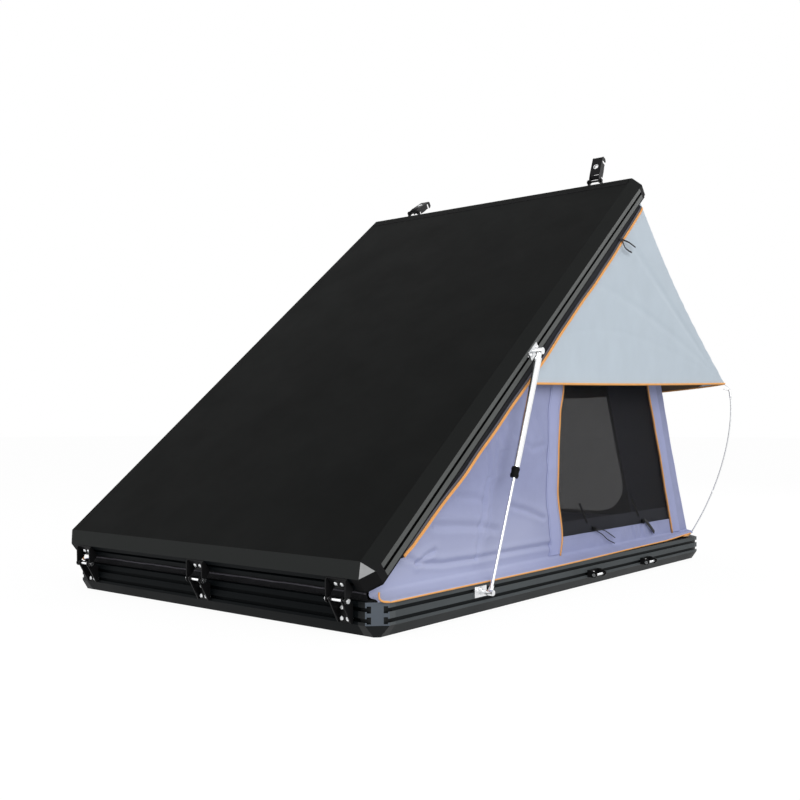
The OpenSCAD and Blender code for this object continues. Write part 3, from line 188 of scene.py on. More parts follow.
# Straps and cords on the buckles by name, width in millimetres, flatness and points as (millimetres out
# of the wall, y, z)
WINDOW_CORDS = (
    ("inner_strap_front", 13, True, ((-7, 0.165, 0.206), (-7, 0.140, 0.240), (-7, 0.110, 0.277))),
    ("inner_strap_rear", 13, True, ((-7, 0.578, 0.203), (-7, 0.550, 0.236), (-7, 0.517, 0.277))),
    ("cord_upper", 3.4, False,
     ((7, 0.200, 0.181), (10, 0.257, 0.174), (11, 0.305, 0.156), (10, 0.345, 0.140))),
    ("cord_lower", 3.4, False,
     ((7, 0.200, 0.178), (10, 0.245, 0.160), (10, 0.285, 0.139), (10, 0.341, 0.120))),
    ("strap_tail", 15, True,
     ((6, 0.596, 0.190), (9, 0.625, 0.172), (11, 0.655, 0.150), (10, 0.683, 0.132))),
)

# Mattress: a slab a little smaller than its place, which swells and is sewn into bays under a crown
SLAB_EASE, SLAB_DEPTH, SLAB_ROUND, SLAB_MIDDLE = 16 * MM, 46 * MM, 14 * MM, 24 * MM
SLAB_STEP = 15 * MM
SWELL_LIMIT, SWELL_FRAMES = 12 * MM, 20
CROWN, CHANNEL = 11 * MM, 9 * MM
CROWN_FROM, CROWN_OVER, CROWN_ROOM = 26 * MM, 18 * MM, 6 * MM

# Roof liner: distance from the lid's edges, thickness, rounding of its rim and pitch of its quilting
LINER_EDGE, LINER_DEPTH, LINER_RIM, QUILT_PITCH = 36 * MM, 8 * MM, 12 * MM, 0.14

# Strips on the lid's tall edge by name, distance, width and height in millimetres, finish and slot; the dark
# rubber strip paints the shadow line of a groove
LID_STRIPS = (
    ("lid_edge_strip", 2, 28, 1.2, "lid_sheet", "lid_skin"),
    # Dark rubber strip: painted shadow line of a groove in front of the edge strip
    ("lid_edge_joint", 30, 14, 0.8, "soft_rubber", "seal"),
)

# Bolts: places of the hinges, struts and ladder brackets, and offsets from them in millimetres
HINGE_X = HALF_W - 110 * MM
STRUT_FOOT_Y, STRUT_HEAD_Y = -0.575, -0.036
LADDER_YS = (0.092, 0.504)
HINGE_FOOT = ((-11, SLOT_HIGH_Z), (-11, SLOT_LOW_Z), (11, SLOT_LOW_Z))
HINGE_BOLTS, LATCH_BOLTS, KEEPER_BOLTS = (-11, 11), (-10, 10), (-9, 9)
STRUT_FOOT_BOLTS, STRUT_HEAD_BOLTS = (-36, -17), (-22, 22)
BRACKET_STAND, STRUT_STAND = 4 * MM, 3 * MM
SHANK_RADIUS, NUT_WIDTH, NUT_HEIGHT = 4, 14, 5
BOLT_HEAD = ((6.5, 0), (6.5, 1.3), (5.8, 2.7), (4.6, 3.6), (3.3, 4.0), (2.9, 4.0, 1), (2.7, 2.0, 1))

# Latches: place and lean of the open levers, and the hole in a lever's web
LATCH_X = HALF_W - 215 * MM
LATCH_PIVOT = (HALF_L + 22 * MM, LID_TOP - 12 * MM)
LEVER_LEAN = {"right": math.radians(61), "left": math.radians(99)}
LEVER_INSIDE = 37 * MM
LEVER_HOLE = (-12 * MM, 61 * MM)
EYELET_RADIUS = 9.2 * MM

# Soft creases of the front stretch as depth and width in metres, then (y, z) points
CREASES = (
    (0.0060, 0.009, ((-0.824, 0.165), (-0.701, 0.152), (-0.546, 0.1505), (-0.376, 0.1527), (-0.110, 0.1514))),
    (0.0050, 0.009, ((-0.900, 0.200), (-0.824, 0.165), (-0.793, 0.1805), (-0.750, 0.192))),
    (0.0055, 0.013, ((-0.750, 0.261), (-0.622, 0.2515), (-0.509, 0.241), (-0.440, 0.227))),
    (0.0042, 0.009, ((-0.464, 0.5615), (-0.477, 0.478), (-0.458, 0.390), (-0.490, 0.288), (-0.521, 0.235),
                     (-0.537, 0.155))),
    (0.0026, 0.007, ((-0.425, 0.530), (-0.440, 0.400), (-0.452, 0.300), (-0.485, 0.220))),
    (0.0032, 0.012, ((-0.622, 0.336), (-0.521, 0.3275), (-0.484, 0.312))),
    (0.0050, 0.010, ((-0.342, 0.2926), (-0.246, 0.272), (-0.146, 0.243))),
    (0.0034, 0.016, ((-0.419, 0.530), (-0.387, 0.473), (-0.407, 0.417))),
    (0.0028, 0.012, ((-0.330, 0.520), (-0.230, 0.470), (-0.150, 0.480))),
    (0.0030, 0.016, ((-0.260, 0.640), (-0.180, 0.560), (-0.130, 0.430))),
)


def length_property(name, description, default, low, high):
    """Length that is given here in millimetres."""
    return FloatProperty(name=name, description=description, default=default * MM, min=low * MM,
                         max=high * MM, unit="LENGTH")


class TentSizes(bpy.types.PropertyGroup):
    """Sizes of the sewn goods that a user may change."""

    canvas_thickness: length_property("Canvas thickness", "Thickness of the wall canvas", 1.6, 0.5, 3)
    awning_thickness: length_property("Awning thickness", "Thickness of the awning cloth", 1.2, 0.5, 3)
    net_thickness: length_property("Net thickness", "Thickness of the insect net", 0.8, 0.3, 2)
    piping_radius: length_property("Piping radius", "Radius of the corded piping", 2.7, 1, 6)
    stitch_pitch: length_property("Stitch pitch", "Distance between stitches", 7, 3, 15)
    tooth_pitch: length_property("Zip tooth pitch", "Distance between zip teeth", 5, 2, 10)
    rod_radius: length_property("Spring rod radius", "Radius of the awning's spring rods", 3, 2, 5)
    crease: FloatProperty(name="Crease", description="Share of the full depth of the canvas creases",
                          default=0.95, min=0.0, max=2.0, subtype="FACTOR")
    swell: FloatProperty(name="Mattress pressure", description="Inner pressure of the mattress cover",
                         default=4.0, min=0.0, max=10.0)
    bays: IntProperty(name="Mattress bays", description="Number of sewn bays along the mattress",
                      default=10, min=4, max=16)


def colour_property(name, default):
    """Colour of a finish."""
    return FloatVectorProperty(name=name, description="Colour of the " + name.lower(), default=default,
                               size=3, min=0.0, max=1.0, subtype="COLOR")


class TentColours(bpy.types.PropertyGroup):
    """Colours of the finishes, as linear values."""

    canvas: colour_property("Canvas", (0.325, 0.351, 0.548))
    awning: colour_property("Awning", (0.50, 0.575, 0.645))
    piping: colour_property("Piping", (0.88, 0.425, 0.135))
    net: colour_property("Net", (0.008, 0.008, 0.010))
    inner_panel: colour_property("Inner panel", (0.42, 0.44, 0.56))
    # Dark brown of the hem facing is painted shade on the inside of the awning's rear hem
    hem_facing: colour_property("Hem facing", (0.127, 0.085, 0.05))
    webbing: colour_property("Webbing", (0.016, 0.016, 0.019))
    # Near black of the lid flap is painted shade on the cloth under the lid's rail
    lid_flap: colour_property("Lid flap", (0.014, 0.0145, 0.018))
    flap_tape: colour_property("Flap tape", (0.12, 0.115, 0.135))
    mattress: colour_property("Mattress", (0.13, 0.135, 0.15))
    liner: colour_property("Liner", (0.17, 0.175, 0.20))
    lid: colour_property("Lid", (0.0062, 0.0066, 0.0065))
    dark_rail: colour_property("Dark rail", (0.0030, 0.0042, 0.0050))
    grey_rail: colour_property("Grey rail", (0.074, 0.083, 0.087))
    # Lighter copy of the grey rail: painted highlight on the ribs of the lid's side rails
    lid_rail: colour_property("Lid rail", (0.095, 0.100, 0.098))
    casting: colour_property("Casting", (0.095, 0.112, 0.135))
    bright: colour_property("Bright metal", (0.80, 0.81, 0.82))
    black: colour_property("Black coat", (0.006, 0.006, 0.0065))


# Sums that the shapes share

def mix(a, b, t):
    return a + (b - a) * t


def share_of(value, start, end):
    """Share of the way from start to end, held between 0 and 1."""
    return np.clip((value - start) / (end - start), 0, 1)


def bell(distance, width):
    return np.exp(-(distance / width) ** 2)


def arch(t):
    """Half a sine wave over 0 to 1."""
    return np.sin(np.pi * t)


def smooth_step(t):
    return t * t * (3 - 2 * t)


def places(x, y, z):
    """Points from coordinates that are numbers or arrays."""
    return np.stack(np.broadcast_arrays(x, y, z), -1).astype(float)


def opened(points):
    """Points of the closed lid carried to the open pose."""
    p = np.asarray(points, float)
    a = p[..., 1] - HINGE_Y
    b = p[..., 2] - HINGE_Z
    cos, sin = math.cos(OPEN_ANGLE), math.sin(OPEN_ANGLE)
    return places(p[..., 0], HINGE_Y + a * cos - b * sin, HINGE_Z + a * sin + b * cos)


def opened_direction(v):
    return opened(np.asarray(v, float) + [0, HINGE_Y, HINGE_Z]) - [0, HINGE_Y, HINGE_Z]


REAR_TOP_Z = opened((0, REAR_TOP_Y, CANVAS_TOP_Z))[2]


def sided(points, side):
    """Points of the right side, or their mirror on the left."""
    return points if side > 0 else np.asarray(points, float) * [-1.0, 1.0, 1.0]


def run_along(points, axis=0):
    """Length run from the first point on, along an axis of a path or grid."""
    steps = np.linalg.norm(np.diff(points, axis=axis), axis=-1)
    return np.concatenate([np.zeros_like(steps.take([0], axis)), np.cumsum(steps, axis)], axis)


def evenly(path, count):
    """Path stepped evenly by its length."""
    path = np.asarray(path, float)
    run = run_along(path)
    at = np.linspace(0, run[-1], count)
    return np.stack([np.interp(at, run, path[:, k]) for k in range(3)], 1)


def catmull(a, b, c, d, t):
    """Point of a Catmull-Rom curve between b and c."""
    square = (2 * a - 5 * b + 4 * c - d) * t ** 2
    cube = (3 * b - a - 3 * c + d) * t ** 3
    return 0.5 * (2 * b + (c - a) * t + square + cube)


def smooth_path(points, count):
    """Catmull-Rom curve through points, evenly stepped by length."""
    p = np.asarray(points, float)
    ends = np.vstack([2 * p[0] - p[1], p, 2 * p[-1] - p[-2]])
    t = np.linspace(0, 1, 24, endpoint=False)[:, None]
    spans = [catmull(a, b, c, d, t) for a, b, c, d in zip(ends, ends[1:], ends[2:], ends[3:])]
    return evenly(np.vstack(spans + [p[-1:]]), count)


def spline_through(knots, k, leaving=None):
    """Catmull-Rom point at share k through lists of points, which may leave the last in a given direction."""
    after = 2 * knots[-1] - knots[-2]
    if leaving is not None:
        stride = 2 * np.linalg.norm(knots[-1] - knots[-2], axis=-1) / np.linalg.norm(leaving, axis=-1)
        after = knots[-2] + leaving * stride[..., None]
    ends = [2 * knots[0] - knots[1]] + knots + [after]
    spans = len(knots) - 1
    i = min(int(k * spans), spans - 1)
    return catmull(*ends[i:i + 4], k * spans - i)


def eased(at, points):
    """Value that eases from point to point of (place, value) pairs, which are in millimetres."""
    marks, values = np.array(points, float).T * MM
    k = np.clip(np.searchsorted(marks, at, side="right") - 1, 0, len(marks) - 2)
    return mix(values[k], values[k + 1], smooth_step(share_of(at, marks[k], marks[k + 1])))


def soft_noise(y, z, scale, seed):
    flat = [noise.noise(Vector((a * scale, b * scale, seed))) for a, b in zip(np.ravel(y), np.ravel(z))]
    return np.array(flat).reshape(np.shape(y))


# Materials

WAVE_TURN = 0.314
RIB_LEVEL = HALF_W - 1 * MM


def shade(colour, gain):
    return [min(1.0, c * gain) for c in colour]


def feed(tree, sockets, values):
    """Links output sockets to inputs, and sets plain values on them."""
    for socket, value in zip(sockets, values):
        if isinstance(value, bpy.types.NodeSocket):
            tree.links.new(value, socket)
        else:
            socket.default_value = value


def add_node(tree, kind, **values):
    """Node of a kind, whose properties and inputs are set or linked by name."""
    node = tree.nodes.new(kind)
    for key, value in values.items():
        if hasattr(node, key):
            setattr(node, key, value)
        else:
            feed(tree, [node.inputs[key.replace("_", " ").title()]], [value])
    return node


def start_material(name, colour, roughness, metallic=0.0, specular=0.3):
    """Node tree and shader of a new material, with the values that are the same all over on the shader."""
    material = bpy.data.materials.new(name)
    material.use_nodes = True
    shader = material.node_tree.nodes["Principled BSDF"]
    shader.inputs["Base Color"].default_value = (*colour, 1.0)
    shader.inputs["Roughness"].default_value = roughness
    shader.inputs["Metallic"].default_value = metallic
    shader.inputs["Specular IOR Level"].default_value = specular
    return material.node_tree, shader


def coordinates(tree, output):
    return add_node(tree, "ShaderNodeTexCoord").outputs[output]


def axes(tree, output):
    """Object place or normal, by axis."""
    return add_node(tree, "ShaderNodeSeparateXYZ", vector=coordinates(tree, output)).outputs


def clouds(tree, vector, scale, detail, roughness=0.5):
    cloud = add_node(tree, "ShaderNodeTexNoise", scale=scale, detail=detail, roughness=roughness,
                     vector=vector)
    return cloud.outputs["Fac"]


def threads(tree, vector, direction, pitch):
    wave = add_node(tree, "ShaderNodeTexWave", bands_direction=direction, scale=WAVE_TURN / pitch,
                    vector=vector)
    return wave.outputs["Fac"]


def calculated(tree, operation, first, second=0.0):
    """Result of a Math node on sockets or numbers."""
    node = add_node(tree, "ShaderNodeMath", operation=operation)
    feed(tree, node.inputs, (first, second))
    return node.outputs[0]


def chosen(tree, factor, low, high):
    """Colour between two sockets or colours."""
    node = add_node(tree, "ShaderNodeMix", data_type="RGBA", factor=factor)
    ends = [end if isinstance(end, bpy.types.NodeSocket) else (*end, 1.0) for end in (low, high)]
    feed(tree, node.inputs[6:8], ends)
    return node.outputs[2]


def base_colour(shader):
    return shader.inputs["Base Color"].links[0].from_socket


def paint(tree, shader, colour):
    tree.links.new(colour, shader.inputs["Base Color"])


def mottle(tree, shader, colour, vector, scale, spread):
    """Slow change of the base colour over the surface."""
    ramp = add_node(tree, "ShaderNodeValToRGB", fac=clouds(tree, vector, scale, 4.0, 0.6))
    ends = ((0.3, 1 - spread), (0.7, 1 + spread))
    for element, (position, gain) in zip(ramp.color_ramp.elements, ends):
        element.position = position
        element.color = (*shade(colour, gain), 1.0)
    paint(tree, shader, ramp.outputs["Color"])


def vary_gloss(tree, shader, source, low, high):
    gloss = add_node(tree, "ShaderNodeMapRange", value=source, to_min=max(0.05, low), to_max=min(1.0, high))
    tree.links.new(gloss.outputs["Result"], shader.inputs["Roughness"])


def add_bump(tree, shader, height, strength, distance):
    bump = add_node(tree, "ShaderNodeBump", strength=strength, distance=distance)
    tree.links.new(height, bump.inputs["Height"])
    tree.links.new(bump.outputs["Normal"], shader.inputs["Normal"])


def woven(name, colour, pitch=1.4 * MM, spread=0.05, roughness=0.85, strength=0.35, specular=0.2):
    """Plain weave on the piece's UV map, which is in metres."""
    tree, shader = start_material(name, colour, roughness, specular=specular)
    shader.inputs["Sheen Weight"].default_value = 0.03
    shader.inputs["Sheen Roughness"].default_value = 0.5
    vector = coordinates(tree, "UV")
    weave = calculated(tree, "MAXIMUM", *[threads(tree, vector, direction, pitch) for direction in "XY"])
    height = calculated(tree, "ADD", weave, clouds(tree, vector, 160.0, 3.0))
    mottle(tree, shader, colour, vector, 9.0, spread)
    add_bump(tree, shader, height, strength, 0.5 * MM)
    return tree, shader


def net_cloth(name, colour, alpha):
    """Fine dark net that lets some of the view through."""
    shader = woven(name, colour, 1.6 * MM, spread=0.15, roughness=0.7)[1]
    shader.inputs["Alpha"].default_value = alpha


def canvas_with_painted_light(name, colour, gains):
    """Canvas weave with painted light: paler at the foot of the front half, which faces the light and which
    no awning shades.
    """
    tree, shader = woven(name, colour)
    place = axes(tree, "Object")
    shares = []
    for axis, (start, end) in PAINTED_LIGHT_SPANS.items():
        share = add_node(tree, "ShaderNodeMapRange", interpolation_type="SMOOTHSTEP", value=place[axis],
                         from_min=start, from_max=end)
        shares.append(share.outputs["Result"])
    kept = calculated(tree, "MAXIMUM", *shares)
    pale = [c * gain for c, gain in zip(colour, gains)]
    paint(tree, shader, chosen(tree, kept, pale, base_colour(shader)))


def twisted_cord(name, colour):
    """Piping whose cover is cut on the bias, so its threads run round it at an angle."""
    tree, shader = start_material(name, colour, 0.7, specular=0.25)
    vector = coordinates(tree, "UV")
    mottle(tree, shader, colour, vector, 25.0, 0.08)
    add_bump(tree, shader, threads(tree, vector, "DIAGONAL", 1.6 * MM), 0.3, 0.4 * MM)


def coated(name, colour, roughness, specular, grain=700.0, strength=0.08, spread=0.12):
    """Powder coat or moulded surface with a fine orange peel and a slow change of gloss."""
    tree, shader = start_material(name, colour, roughness, specular=specular)
    vector = coordinates(tree, "Object")
    mottle(tree, shader, colour, vector, 3.5, spread)
    vary_gloss(tree, shader, clouds(tree, vector, 6.0, 5.0, 0.65), roughness - 0.08, roughness + 0.10)
    add_bump(tree, shader, clouds(tree, vector, grain, 2.0), strength, 0.3 * MM)
    return tree, shader


def on_rib(tree):
    """1 on the outer ribs of the side rails, 0 behind them."""
    out = calculated(tree, "ABSOLUTE", axes(tree, "Object")["X"])
    return calculated(tree, "GREATER_THAN", out, RIB_LEVEL)


def rail_coat_with_painted_shade(name, rib, painted_shade_gain, roughness, specular):
    """Rail coat with painted shade: darker wherever the rail lies behind its outer ribs."""
    tree, shader = coated(name, rib, roughness, specular)
    paint(tree, shader, chosen(tree, on_rib(tree), shade(rib, painted_shade_gain), base_colour(shader)))


def cast_corner(name, cut, side, front):
    """Casting that is bare on its diagonal cut and coated like the rails on its two ends, with painted shade
    in the pockets behind the ribs of its sides.
    """
    tree, shader = coated(name, cut, 0.5, 0.2, grain=350.0, strength=0.15)
    facing = axes(tree, "Normal")
    across = calculated(tree, "ABSOLUTE", calculated(tree, "MULTIPLY", facing["X"], facing["Y"]))
    diagonal = calculated(tree, "GREATER_THAN", across, 0.47)
    sideways = calculated(tree, "GREATER_THAN", calculated(tree, "ABSOLUTE", facing["X"]), 0.9)
    # Sideways faces behind the outer ribs take the dark colour as painted shade
    ends = chosen(tree, sideways, front, chosen(tree, on_rib(tree), front, side))
    paint(tree, shader, chosen(tree, diagonal, ends, base_colour(shader)))


def facing_to(tree, direction):
    """How far the surface faces a direction that is given on the closed lid."""
    dot = add_node(tree, "ShaderNodeVectorMath", operation="DOT_PRODUCT")
    feed(tree, dot.inputs, (coordinates(tree, "Normal"), opened_direction(direction)))
    return dot.outputs["Value"]


def folded_sheet(name, colour, edge_gain, front_gain):
    """Coated lid sheet whose sloping edges catch more light than its flat top, most of all at the hinges."""
    tree, shader = coated(name, colour, 0.62, 0.03, grain=900.0, strength=0.06, spread=0.2)
    slope = calculated(tree, "LESS_THAN", facing_to(tree, (0, 0, 1)), 0.9)
    front = calculated(tree, "GREATER_THAN", facing_to(tree, (0, -1, 0)), 0.3)
    edges = chosen(tree, front, shade(colour, edge_gain), shade(colour, front_gain))
    paint(tree, shader, chosen(tree, slope, base_colour(shader), edges))


def bare_metal(name, colour, roughness, stretch):
    """Metal with drawing lines along one axis."""
    tree, shader = start_material(name, colour, roughness, 1.0, 0.5)
    mapping = add_node(tree, "ShaderNodeMapping", vector=coordinates(tree, "Object"), scale=stretch)
    vector = mapping.outputs["Vector"]
    lines = clouds(tree, vector, 60.0, 4.0, 0.7)
    vary_gloss(tree, shader, lines, roughness - 0.1, roughness + 0.12)
    mottle(tree, shader, colour, vector, 8.0, 0.06)
    add_bump(tree, shader, lines, 0.05, 0.2 * MM)


def make_finishes(colours):
    """All materials, by name."""
    # Wall canvas with painted light at the foot of its front half
    canvas_with_painted_light("wall_canvas", colours.canvas, PAINTED_LIGHT_GAINS)
    # Paler copy of the canvas for the zip flaps: painted light on their raised faces
    woven("canvas_flap", shade(colours.canvas, 1.18), spread=0.04)
    # Near-black front strip: painted shade in the gap under the lid's front rail
    woven("front_cloth", shade(colours.webbing, 0.7))
    # Lid flap in near black as painted shade
    woven("lid_flap", colours.lid_flap, 1.6 * MM, spread=0.15)
    woven("flap_tape", colours.flap_tape, 1.6 * MM, spread=0.1)
    woven("awning_cloth", colours.awning, 1.0 * MM, spread=0.025, roughness=0.6, strength=0.2, specular=0.3)
    net_cloth("net", colours.net, 0.55)
    woven("inner_panel", colours.inner_panel)
    # Hem facing in dark brown as painted shade
    woven("hem_facing", colours.hem_facing)
    woven("webbing", colours.webbing, 2.0 * MM, roughness=0.7, strength=0.6)
    woven("thread", shade(colours.canvas, 0.8), 1.0 * MM)
    woven("mattress_cover", colours.mattress, 1.8 * MM, spread=0.1)
    woven("liner_cover", colours.liner, 1.6 * MM, spread=0.08)
    twisted_cord("piping", colours.piping)
    folded_sheet("lid_sheet", colours.lid, 2.0, 4.2)
    coated("dark_coat", colours.dark_rail, 0.5, 0.04)
    # Side rails with painted shade in their slots behind the outer ribs
    rail_coat_with_painted_shade("grey_coat", colours.grey_rail, 0.3, 0.48, 0.05)
    # Lid side rails use the lighter copy of the grey rail as painted highlight
    rail_coat_with_painted_shade("lid_rail_coat", colours.lid_rail, 0.05, 0.45, 0.12)
    cast_corner("cast_grey", colours.casting, colours.grey_rail, colours.dark_rail)
    coated("black_coat", colours.black, 0.45, 0.12)
    coated("moulded_black", colours.black, 0.6, 0.08, grain=420.0, strength=0.16)
    coated("soft_rubber", shade(colours.black, 0.8), 0.8, 0.10, grain=500.0, strength=0.2)
    bare_metal("plank", shade(colours.bright, 0.7), 0.45, (8.0, 0.4, 8.0))
    bare_metal("bright_plate", colours.bright, 0.28, (3.0, 3.0, 3.0))
    bare_metal("polished_tube", shade(colours.bright, 1.12), 0.22, (8.0, 8.0, 0.5))
    bare_metal("corner_metal", shade(colours.bright, 0.42), 0.5, (2.0, 2.0, 2.0))
    bare_metal("spring_steel", colours.bright, 0.3, (6.0, 6.0, 0.6))
    coated("zip_teeth", shade(colours.piping, 0.35), 0.4, 0.4)


def finish_of(name):
    material = bpy.data.materials.get(name)
    if material is None:
        raise RuntimeError("no finish is named " + name)
    return material


# Mesh helpers

def placed(name, data):
    """Object of some data, in the scene."""
    item = bpy.data.objects.new(name, data)
    bpy.context.scene.collection.objects.link(item)
    return item


def new_piece(name, vertices, faces, material, uv=None, smooth=True):
    """Mesh object at the origin, with UVs given per vertex in metres."""
    mesh = bpy.data.meshes.new(name)
    mesh.from_pydata([tuple(v) for v in vertices], [], [tuple(int(i) for i in f) for f in faces])
    if uv is not None:
        layer = mesh.uv_layers.new(name="UVMap")
        corner = np.zeros(len(mesh.loops), np.int32)
        mesh.loops.foreach_get("vertex_index", corner)
        layer.data.foreach_set("uv", np.asarray(uv, np.float32)[corner].ravel())
    mesh.polygons.foreach_set("use_smooth", [smooth] * len(mesh.polygons))
    mesh.materials.append(finish_of(material))
    mesh.update()
    return placed(name, mesh)


def settle(piece):
    """Turns the modifiers' result into the piece's own mesh."""
    graph = bpy.context.evaluated_depsgraph_get()
    mesh = bpy.data.meshes.new_from_object(piece.evaluated_get(graph))
    old = piece.data
    piece.modifiers.clear()
    piece.data = mesh
    mesh.name = piece.name
    if old.users == 0:
        bpy.data.meshes.remove(old)
    return piece


def thicken(piece, thickness):
    """Gives a sheet its wall behind its outer face."""
    wall = piece.modifiers.new("Wall", "SOLIDIFY")
    wall.thickness = thickness
    wall.offset = -1.0
    wall.use_even_offset = True
    settle(piece)
    piece.data.set_sharp_from_angle(angle=math.radians(50))
    return piece


def grid_faces(n, m, flip, closed_ring=False):
    """Quads of an n by m grid of points, whose first index may run round."""
    faces = []
    for i in range(n if closed_ring else n - 1):
        for j in range(m - 1):
            k = (i + 1) % n
            quad = (i * m + j, k * m + j, k * m + j + 1, i * m + j + 1)
            faces.append(quad[::-1] if flip else quad)
    return faces


def tube_faces(rings, sides):
    """Faces of a tube of rings, closed at its two ends."""
    faces = []
    for i in range(rings - 1):
        for k in range(sides):
            q = (k + 1) % sides
            faces.append((i * sides + k, i * sides + q, (i + 1) * sides + q, (i + 1) * sides + k))
    faces.append(tuple(range(sides))[::-1])
    faces.append(tuple((rings - 1) * sides + k for k in range(sides)))
    return faces


def cloth(name, points, uv, thickness, material, flip=False, closed_ring=False):
    """Sheet of cloth from a grid of points, which is its outer face."""
    uv = np.asarray(uv, float).reshape(-1, 2)
    faces = grid_faces(*points.shape[:2], flip, closed_ring)
    piece = new_piece(name, points.reshape(-1, 3), faces, material, uv)
    size = np.ptp(uv, axis=0) if closed_ring else (run_along(points, 0).max(), run_along(points, 1).max())
    thicken(piece, thickness)
    return piece


def circle(radius, sides=10):
    turns = [2 * math.pi * k / sides for k in range(sides)]
    return [(radius * math.cos(a), radius * math.sin(a)) for a in turns]


def flat_band(width, thickness):
    """Section of a strap with rounded edges."""
    w, t = width / 2, thickness / 2
    e = w - t
    return [(w, 0), (e, t), (-e, t), (-w, 0), (-e, -t), (e, -t)]


def swept(name, path, section, material, up=None):
    """Section run along a path. Its second axis stays near the up direction, or is carried along."""
    path, section = np.asarray(path, float), np.asarray(section, float)
    along = np.gradient(path, axis=0)
    along /= np.linalg.norm(along, axis=1)[:, None]
    if up is None:
        ups = [np.array([0, 0, 1.0]) if abs(along[0][2]) < 0.9 else np.array([1.0, 0, 0])]
        for d in along[1:]:
            ups.append(ups[-1] - d * (ups[-1] @ d))
    else:
        ups = np.broadcast_to(np.asarray(up, float), path.shape)
    across = np.cross(along, ups)
    across /= np.linalg.norm(across, axis=1)[:, None]
    top = np.cross(across, along)
    rings = path[:, None] + across[:, None] * section[:, :1] + top[:, None] * section[:, 1:]
    uv = np.stack(np.broadcast_arrays(run_along(section), run_along(path)[:, None]), -1)
    faces = tube_faces(len(path), len(section))
    return new_piece(name, rings.reshape(-1, 3), faces, material, uv.reshape(-1, 2))


def free_cord(name, path, side, width, flat):
    """Limp strap or cord that leaves the tent at the path's start and ends free."""
    section = flat_band(width, 1.4 * MM) if flat else circle(width / 2, 8)
    piece = swept(name, path, section, "webbing", up=(side, 0, 0.1))
    float(run_along(path)[-1])
    return piece


def joined(name, pieces):
    """One object from several meshes that share a body."""
    kept = pieces[0]
    mesh = bmesh.new()
    materials = []
    for piece in pieces:
        first = len(mesh.faces)
        mesh.from_mesh(piece.data)
        mesh.faces.ensure_lookup_table()
        slots = []
        for material in piece.data.materials:
            if material not in materials:
                materials.append(material)
            slots.append(materials.index(material))
        for face in mesh.faces[first:]:
            face.material_index = slots[face.material_index]
    mesh.to_mesh(kept.data)
    mesh.free()
    kept.data.materials.clear()
    for material in materials:
        kept.data.materials.append(material)
    for piece in pieces[1:]:
        bpy.data.objects.remove(piece)
    kept.name = name
    kept.data.name = name
    return kept


def rounded_block(name, size, radius, material, segments=2):
    """Box with rounded edges, centred on the origin."""
    mesh = bmesh.new()
    bmesh.ops.create_cube(mesh, size=1.0)
    bmesh.ops.scale(mesh, vec=size, verts=mesh.verts)
    bmesh.ops.bevel(mesh, geom=mesh.edges[:], offset=radius, segments=segments, profile=0.5, affect="EDGES")
    data = bpy.data.meshes.new(name)
    mesh.to_mesh(data)
    mesh.free()
    data.materials.append(finish_of(material))
    return placed(name, data)


def moved(piece, matrix):
    piece.data.transform(matrix)
    piece.data.update()
    return piece


# Repeats by Geometry Nodes

def repeat_tree(name, along_path):
    """Tree that sets an item at each point, turned to the point's aim, or at a pitch along a path."""
    tree = bpy.data.node_groups.new(name, "GeometryNodeTree")
    inputs = (("Geometry", "Geometry"), ("Item", "Object"), ("Pitch", "Float"), ("Material", "Material"))
    for socket, kind in inputs:
        tree.interface.new_socket(socket, in_out="INPUT", socket_type="NodeSocket" + kind)
    tree.interface.new_socket("Geometry", in_out="OUTPUT", socket_type="NodeSocketGeometry")
    source = add_node(tree, "NodeGroupInput").outputs
    if along_path:
        curve = add_node(tree, "GeometryNodeMeshToCurve", mesh=source["Geometry"])
        steps = add_node(tree, "GeometryNodeResampleCurve", mode="LENGTH", curve=curve.outputs["Curve"],
                         length=source["Pitch"])
        points = steps.outputs["Curve"]
        aim = add_node(tree, "GeometryNodeInputTangent").outputs["Tangent"]
    else:
        attribute = add_node(tree, "GeometryNodeInputNamedAttribute", data_type="FLOAT_VECTOR")
        attribute.inputs["Name"].default_value = "aim"
        points, aim = source["Geometry"], attribute.outputs["Attribute"]
    turn = add_node(tree, "FunctionNodeAlignRotationToVector", axis="Z", vector=aim)
    item = add_node(tree, "GeometryNodeObjectInfo", object=source["Item"])
    row = add_node(tree, "GeometryNodeInstanceOnPoints", points=points, instance=item.outputs["Geometry"],
                   rotation=turn.outputs["Rotation"])
    real = add_node(tree, "GeometryNodeRealizeInstances", geometry=row.outputs["Instances"])
    finished = add_node(tree, "GeometryNodeSetMaterial", geometry=real.outputs["Geometry"],
                        material=source["Material"])
    add_node(tree, "NodeGroupOutput", geometry=finished.outputs["Geometry"])
    return tree


def repeated(name, carrier, item, material, pitch=0.01, along_path=False):
    """Plain mesh of an item repeated over the carrier's points or paths."""
    tree_name = "repeat_along_path" if along_path else "repeat_at_points"
    tree = bpy.data.node_groups.get(tree_name) or repeat_tree(tree_name, along_path)
    carrier.name = name
    modifier = carrier.modifiers.new("Repeat", "NODES")
    modifier.node_group = tree
    sockets = {s.name: s.identifier for s in tree.interface.items_tree if s.in_out == "INPUT"}
    modifier[sockets["Item"]] = item
    modifier[sockets["Pitch"]] = pitch
    modifier[sockets["Material"]] = finish_of(material)
    piece = settle(carrier)
    piece.data.polygons.foreach_set("use_smooth", [False] * len(piece.data.polygons))
    return piece


def carrier_of(vertices, edges=()):
    mesh = bpy.data.meshes.new("carrier")
    mesh.from_pydata([tuple(v) for v in vertices], edges, [])
    return placed("carrier", mesh)


def points_carrier(points, aims):
    carrier = carrier_of(points)
    aim = carrier.data.attributes.new("aim", "FLOAT_VECTOR", "POINT")
    aim.data.foreach_set("vector", np.asarray(aims, np.float32).ravel())
    return carrier


